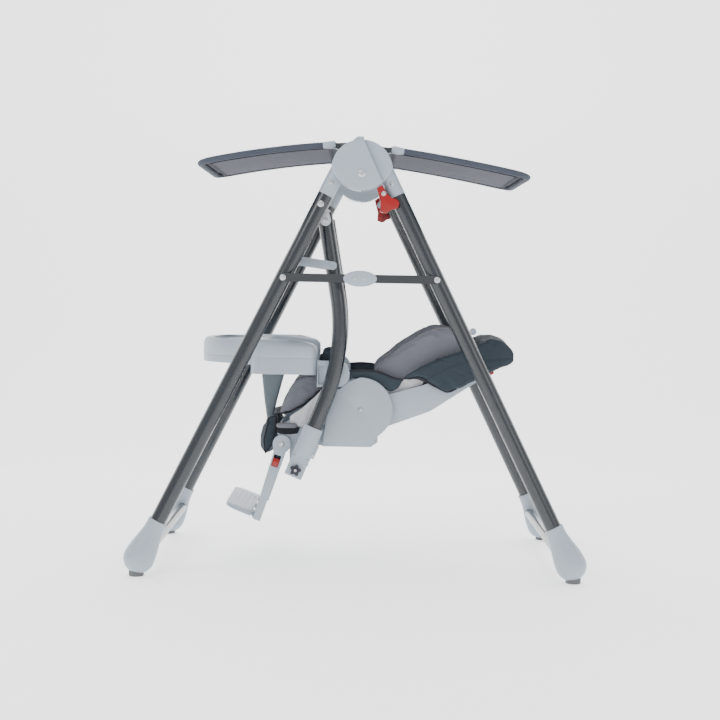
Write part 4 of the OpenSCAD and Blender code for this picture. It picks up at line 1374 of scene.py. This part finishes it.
@dataclass
class Backrest:
    """The reclining backrest: shell, cushion, side wings and the cover over its head end."""

    slab: tuple = ((66, 362), (75, 360), (176, 398), (281, 468), (324, 502), (318, 524), (270, 492),
                   (166, 421), (62, 388))
    wing: tuple = ((62, 392), (42, 440), (34, 478), (40, 502), (66, 530), (108, 565), (150, 589), (195, 603),
                   (240, 597), (284, 574), (300, 552), (298, 512), (240, 452), (160, 412), (110, 396))
    skirt: tuple = ((106, 476), (150, 506), (198, 531), (244, 545), (280, 560), (318, 573), (350, 566),
                    (376, 544), (383, 528), (375, 508), (326, 481), (275, 454), (241, 438), (224, 434),
                    (190, 442), (163, 458), (148, 467), (120, 468))
    pillow: tuple = ((300, 544), (303, 566), (322, 573), (350, 565), (377, 543), (383, 528), (375, 508),
                     (350, 494), (343, 500), (342, 519), (330, 527), (318, 533))
    seam: tuple = ((163, 468), (195, 489), (228, 505), (265, 515), (307, 518), (353, 522), (377, 526))

    def build(self, kit: Kit) -> None:
        """Makes and dresses every piece of the backrest."""
        kit.mould("backrest_shell", "backrest", LIGHT, 2.0)
        kit.mould("recline_lever", "lever", RED, 1.2, Slot.RED)
        self.cushion(kit)
        self.wings(kit)
        self.cover(kit)
        self.lining(kit)
        profile = [(0, 8.2), (9, 8.6), (12, 7.6), (13.4, 4.5), (13.8, 1.0)]
        for side in Side:
            spot, way = (side.value * 146, 279, 587), (side.value, 0, 0)
            kit.finish(lathe(f"{side.word}_wing_stud", profile, spot, way), "backrest", Slot.PLASTIC, LIGHT)

    def cushion(self, kit: Kit) -> None:
        """The padded back with sewn channels across it."""
        piece = slab("back_cushion", self.slab, -114, 114)
        Padding(reach=0.014).swell(piece)
        marks = ((100, 392), (150, 412), (200, 442), (250, 476))
        along = Vector((0.84, 0.54))

        def channels(p: Vector, n: Vector) -> float:
            """The dents of the sewn lines, on the face that is leant on."""
            place = [(p.y - y * MM) * along.x + (p.z - z * MM) * along.y for y, z in marks]
            return max(n.z, 0) * sum(dent(d, 0.006, 0.006) for d in place)

        crease(piece, channels)
        held_in(piece, 0, -116.6, 116.6)
        kit.finish(piece, "backrest", Slot.PURPLE, PURPLE)
        skin = Surface(piece)
        rows = []
        for y, z in marks:
            row = [skin.over(x, (y - 0.5 * 14) * MM, 0.0006) for x in np.linspace(-0.103, 0.103, 36)]
            rows.append([p for p in row if p is not None])
        kit.sew("back_channel_stitches", "backrest", rows, 0.007)
        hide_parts("backrest_pad")

    def wings(self, kit: Kit) -> None:
        """The tall padded wing on each side, with its gusset's two sewn edges."""
        outline = curved(self.wing, 3)
        piece = slab("left_back_wing", outline, 121, 146)
        Padding(reach=0.010).swell(piece)
        crease(piece, lambda p, n: 0.0014 * noise.noise(Vector((p.x * 20, p.y * 24, p.z * 24 + 7))))
        held_in(piece, 0, 117.4, 149.4)
        skin = Surface(piece)
        fine = metres(curved(self.wing, 6))
        for side in Side:
            wing = piece if side is Side.LEFT else mirrored("right_back_wing", piece)
            kit.finish(wing, "backrest", Slot.PURPLE, PURPLE)
            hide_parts("backrest_pad")
            for edge, x in (("outer", 0.1455), ("inner", 0.1215)):
                line = [skin.near((x, y, z), 0.0003) for y, z in fine]
                line = [Vector((side.value * p.x, p.y, p.z)) for p in line]
                kit.cord(f"{side.word}_wing_{edge}_piping", "backrest", line, 0.0011,
                         closed=True, slot=Slot.PURPLE, look=PURPLE)

    def cover(self, kit: Kit) -> None:
        """The head cover: a padded end across the backrest and a wrinkled pocket on each side."""
        end = slab("head_cover_end", self.pillow, -171, 171)
        Padding(reach=0.009, shrink=0.003).swell(end)
        crease(end, lambda p, n: dent(p.z - 0.5235, 0.003, 0.0022)
               + 0.0016 * noise.noise(Vector((p.x * 15, p.y * 22, p.z * 22))))
        held_in(end, 0, -173.4, 173.4)
        held_in(end, 1, 296, 386)
        kit.finish(end, "backrest", Slot.SLATE, SLATE)
        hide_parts("head_cover")
        piece = slab("left_head_pocket", curved(self.skirt, 3), 173.2, 181.5)
        Padding(voxel=0.004, shrink=0.0015, reach=0.005).swell(piece)
        seam = metres(self.seam)

        def folds(p: Vector, n: Vector) -> float:
            """Creases that gather at the pocket's low end, and the seam across it."""
            turn = math.atan2(p.z - 0.520, p.y - 0.190)
            reach = math.hypot(p.z - 0.520, p.y - 0.190)
            below = max(0.0, min(1.0, (from_line(p.y, p.z, seam) - 0.004) / 0.03)) * (p.z < 0.53)
            gather = math.sin(turn * 13 + 3 * noise.noise(Vector((reach * 20, turn, 0)))) * below * 0.0026
            calm = max(0.0, 1 - abs(p.y - 0.215) / 0.09)
            crumple = 0.0012 * noise.noise(p * 30)
            return gather * calm + crumple + dent(from_line(p.y, p.z, seam), 0.0025, 0.0018)

        crease(piece, folds)
        held_in(piece, 0, 171.6, 184.6)
        skin = Surface(piece)
        low = ((106, 468), (120, 468), (148, 466), (163, 458), (190, 442), (224, 434), (241, 438))
        rim = [skin.near((0.1805, y, z), 0.0004) for y, z in metres(curved(low, 6, closed=False))]
        row = [skin.beside(y, z, Side.LEFT, 0.0004) for y, z in metres(curved(self.seam, 10, closed=False))]
        row = [p for p in row if p is not None]
        for side in Side:
            pocket = piece if side is Side.LEFT else mirrored("right_head_pocket", piece)
            kit.finish(pocket, "backrest", Slot.SLATE, SLATE)
            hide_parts("head_cover")
            flip = lambda line: [Vector((side.value * p.x, p.y, p.z)) for p in line]
            kit.cord(f"{side.word}_pocket_piping", "backrest", flip(rim), 0.0026)
            kit.sew(f"{side.word}_pocket_stitches", "backrest", [flip(row)], 0.006)

    def lining(self, kit: Kit) -> None:
        """Pale lining between the shell's rim and the side band."""
        top = ((62, 452), (92, 460), (110, 466), (140, 468), (160, 462))
        low = ((62, 428), (85, 431), (108, 438), (132, 446), (158, 455))
        out = lambda u, v: 156.5 + 1.8 * math.sin(u * 9 + 1) * math.sin(v * math.pi)
        Seat().hang(kit, "back_lining", top, low, out, LINER, Slot.PURPLE, "backrest")


@dataclass
class Tray:
    """The tray with its play recess, cup well and crotch post.

    Attributes:
        seam: Height of the line between its halves.
        top: Height of its top.
        recess: Centre and half sizes of the oval recess.
        cup: Centre and radius of the cup well.
        slot: Centre and half sizes of the recess on each arm.
    """

    seam: float = 515.0
    top: float = 560.0
    recess: tuple[float, float, float, float] = (0.0, -318.0, 112.0, 56.0)
    cup: tuple[float, float, float] = (66.0, -318.0, 30.5)
    slot: tuple[float, float, float, float] = (165.0, -170.0, 16.0, 48.0)

    @staticmethod
    def arc(cx: float, cy: float, r: float, a0: float, a1: float, n: int) -> list[Point2]:
        """Points on an arc, seen from above."""
        turns = [math.radians(a0 + (a1 - a0) * i / n) for i in range(n + 1)]
        return [(cx + r * math.cos(a), cy + r * math.sin(a)) for a in turns]

    def outline(self, inset: float) -> list[Point2]:
        """The tray's edge seen from above, moved inwards."""
        d = inset
        half = self.arc(0, -250, 145 - d, -90, -24, 16)
        half += [(158 - d, -276 - d * 0.3), (184 - d, -264 - d * 0.6)]
        half += self.arc(176, -238, 24 - d, -70, 0, 6) + self.arc(180, -121, 20 - d, 0, 90, 8)
        half += self.arc(148, -121, 20 - d, 90, 180, 8)
        half += [((128 + d) * math.cos(math.radians(a)), -200 - (45 + d) * math.sin(math.radians(a)))
                 for a in range(0, 90, 9)]
        return half + [(0.0, -245 - d)] + [(-x, y) for x, y in half[:0:-1]]

    def slope(self, y: float, z: float) -> float:
        """The height of a point, lowered where the top runs down to the arms' ends."""
        share = max(0.0, min(1.0, (y + 160) / 59))
        up = max(0.0, min(1.0, (z - 522) / 34))
        return z - 11 * share * share * (3 - 2 * share) * up

    def ring(self, bm: bmesh.types.BMesh, points: Sequence[Point2], z: float) -> list:
        """A loop of points at one height."""
        return [bm.verts.new((x * MM, y * MM, self.slope(y, z) * MM)) for x, y in points]

    @staticmethod
    def wall(bm: bmesh.types.BMesh, a: list, b: list) -> None:
        """Faces between two loops."""
        n = len(a)
        for i in range(n):
            bm.faces.new((a[i], a[(i + 1) % n], b[(i + 1) % n], b[i]))

    @staticmethod
    def fill(bm: bmesh.types.BMesh, loops: Sequence[list]) -> None:
        """A flat face inside the first loop and outside the others."""
        edges = []
        for loop in loops:
            for i, v in enumerate(loop):
                w = loop[(i + 1) % len(loop)]
                edges.append(bm.edges.get((v, w)) or bm.edges.new((v, w)))
        bmesh.ops.triangle_fill(bm, use_beauty=True, use_dissolve=False, edges=edges)

    def pit(
        self, bm: bmesh.types.BMesh, shape: Callable[[float], list], top: float, floor: float, soft: float
    ) -> tuple:
        """A recess: rounded rim, wall and floor edge.

        Args:
            bm: The mesh.
            shape: Gives the recess's edge, moved inwards by a number.
            top: Height of its rim.
            floor: Height of its floor.
            soft: Rounding of its edges.

        Returns:
            Its rim and floor loops.
        """
        steps = [(0, top), (soft * 0.35, top - soft * 0.12)]
        steps += [(soft * 0.75, top - soft * 0.45), (soft, top - soft)]
        steps += [(soft * 1.2, floor + soft), (soft * 1.45, floor + soft * 0.4), (soft * 2.0, floor)]
        loops = [self.ring(bm, shape(d), z) for d, z in steps]
        for a, b in zip(loops, loops[1:]):
            self.wall(bm, a, b)
        return loops[0], loops[-1]

    def upper(self) -> bpy.types.Object:
        """The tray's upper half."""
        bm = bmesh.new()
        steps = [(1.6, self.seam + 0.1), (0.5, self.seam + 0.5), (0, self.seam + 1.6)]
        steps += [(0.3, 540), (0.9, 546.2),
                 (2.4, 551.2), (4.9, 555.2), (8.2, 558.0), (11.2, 559.4), (14.0, self.top)]
        rings = [self.ring(bm, self.outline(d), z) for d, z in steps]
        for a, b in zip(rings, rings[1:]):
            self.wall(bm, a, b)
        x, y, rx, ry = self.recess
        oval = lambda cx, cy, a, b, n=72: lambda d: [
            (cx + (a - d) * math.cos(math.tau * i / n), cy + (b - d) * math.sin(math.tau * i / n))
            for i in range(n)
        ]
        pan_rim, pan_floor = self.pit(bm, oval(x, y, rx, ry), self.top, 531, 4.0)
        cx, cy, r = self.cup
        cup_rim, cup_floor = self.pit(bm, oval(cx, cy, r, r, 48), 531, 519, 2.0)
        self.fill(bm, [pan_floor, cup_rim])
        self.fill(bm, [cup_floor])
        holes = [pan_rim]
        sx, sy, rx, ry = self.slot
        for side in Side:
            rim, floor = self.pit(bm, oval(side.value * sx, sy, rx, ry, 48), self.top, 552, 2.4)
            self.fill(bm, [floor])
            holes.append(rim)
        self.fill(bm, [rings[-1], *holes])
        self.fill(bm, [rings[0]])
        piece = from_bmesh("tray_upper", bm)
        piece.data.set_sharp_from_angle(angle=math.radians(48))
        return piece

    def build(self, kit: Kit) -> None:
        """Makes the upper half and softens the rest."""
        piece = self.upper()
        kit.finish(piece, "tray", Slot.PLASTIC, LIGHT)
        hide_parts("tray_top")
        underside = lambda p: p.z < 0.506 and abs(p.y + 0.28) < 0.215
        kit.mould("tray_base", "tray", LIGHT, 7.0, steps=5, where=underside)
        kit.mould("crotch_post", "tray", POST, 5.0, steps=4)


@dataclass
class Footrest:
    """The footrest's frame, folding plate and release buttons.

    Attributes:
        pivot: The frame's pivot.
        lean: Its lean, in degrees.
    """

    pivot: tuple[float, float] = (-184.0, 305.0)
    lean: float = 17.4

    def at(self, y: float, z: float) -> Point2:
        """A point of the frame's own side view, in the swing's."""
        c, s = math.cos(math.radians(self.lean)), math.sin(math.radians(self.lean))
        return self.pivot[0] + y * c + z * s, self.pivot[1] - y * s + z * c

    def build(self, kit: Kit) -> None:
        """Dresses the footrest and adds a dark plate in each button's recess, above the button, that paints
        the shade there.
        """
        kit.mould("footrest_frame", "footrest", LIGHT, 1.6)
        kit.mould("foot_plate", "footplate", LIGHT, 2.4)
        kit.mould("footrest_buttons", "buttons", RED, 1.2, Slot.RED, steps=2)
        # A dark plate on the floor of each button's recess, above the button: painted shade.
        well = [self.at(y, z) for y, z in ((-8.6, -37), (8.6, -37), (8.6, -29.4), (-8.6, -29.4))]
        for side in Side:
            x0, x1 = sorted((side.value * 175.1, side.value * 177.2))
            kit.finish(slab(f"{side.word}_button_well", well, x0, x1), "footrest", Slot.KNOB, INK)


# Stage --------------------------------------------------------------------------------------------


@dataclass
class Stage:
    """The floor, the lights and the camera.

    Attributes:
        far: The camera's distance from the swing's middle plane, in metres.
        eye: Its height.
        pitch: How far it looks down, in degrees.
        roll: How far it is turned about its own axis.
        lens: Focal length, in millimetres.
    """

    far: float = 3.92
    eye: float = 0.703
    pitch: float = 2.90
    roll: float = 1.03
    lens: float = 76.9

    def build(self) -> None:
        """Makes all of it."""
        self.floor()
        self.lights()
        self.camera()

    def floor(self) -> None:
        """A pale floor that curves up behind the swing."""
        mesh = bpy.data.meshes.new("floor")
        size, back, rise, r = 14.0, -3.2, 9.0, 1.6
        line = [(size, 0.0), (back + r, 0.0)]
        line += [(back + r - r * math.sin(a), r - r * math.cos(a)) for a in np.linspace(0.1, math.pi / 2, 14)]
        line += [(back, rise)]
        points = [(x, y, z) for x, z in line for y in (-size, size)]
        faces = [(2 * i, 2 * i + 1, 2 * i + 3, 2 * i + 2) for i in range(len(line) - 1)]
        mesh.from_pydata(points, [], faces)
        mesh.shade_smooth()
        floor = put("floor", mesh)
        floor.data.materials.append(Backdrop("studio floor", (0.93, 0.93, 0.93), 0.7).material())

    def lights(self) -> None:
        """Soft boxes over, beside and behind the camera, in a pale room."""
        world = bpy.data.worlds.new("studio")
        world.use_nodes = True
        sky = world.node_tree.nodes["Background"]
        sky.inputs[0].default_value, sky.inputs[1].default_value = (1, 1, 1, 1), 0.95
        bpy.context.scene.world = world
        boxes = {
            "key": ((2.2, -2.0, 2.9), 1.6, 46.0),
            "fill": ((2.4, 2.4, 1.6), 1.8, 16.0),
            "top": ((-0.2, 0.0, 3.4), 2.4, 34.0),
            "wall": ((-1.4, 0.0, 2.6), 2.4, 26.0),
        }
        for name, (place, size, power) in boxes.items():
            light = bpy.data.lights.new(name, "AREA")
            light.shape, light.size, light.energy = "DISK", size, power
            lamp = bpy.data.objects.new(name, light)
            bpy.context.scene.collection.objects.link(lamp)
            aim = Vector((-2.6, 0, 0.4)) if name == "wall" else Vector((0, 0, 0.55))
            lamp.location = place
            lamp.rotation_euler = (aim - Vector(place)).to_track_quat("-Z", "Y").to_euler()

    def camera(self) -> None:
        """The camera at the side, a little above the seat, looking across the swing."""
        data = bpy.data.cameras.new("camera")
        data.lens, data.sensor_width = self.lens, 36.0
        camera = bpy.data.objects.new("camera", data)
        bpy.context.scene.collection.objects.link(camera)
        pitch, roll = math.radians(self.pitch), math.radians(self.roll)
        away = Vector((0.0, math.sin(pitch), -math.cos(pitch)))
        across = Vector((math.cos(roll), -math.sin(roll), 0.0))
        across = (across - away * across.dot(away)).normalized()
        to_camera = Matrix((-away, across, (-away).cross(across))).transposed()
        turn = to_camera.transposed().to_4x4()
        camera.matrix_world = Matrix.Translation((self.far, 0.0, self.eye)) @ turn
        bpy.context.scene.camera = camera


def main() -> None:
    """Builds the looks of every assembly, then the stage."""
    logging.basicConfig(level=logging.INFO, format="%(message)s")
    kit = Kit()
    assemblies = [
        FoldingFrame(),
        CanopyWing(End.FRONT, (62.0, 1028.5), (389.0, 981.0), 2200.0, 30.0),
        CanopyWing(End.REAR, (68.0, 1019.0), (399.0, 961.0), 4000.0, 24.0),
        SwingArms(),
        Seat(),
        Backrest(),
        Tray(),
        Footrest(),
    ]
    for assembly in assemblies:
        log.info("building %s", type(assembly).__name__)
        assembly.build(kit)
    Stage().build()


if __name__ == "__main__":
    main()
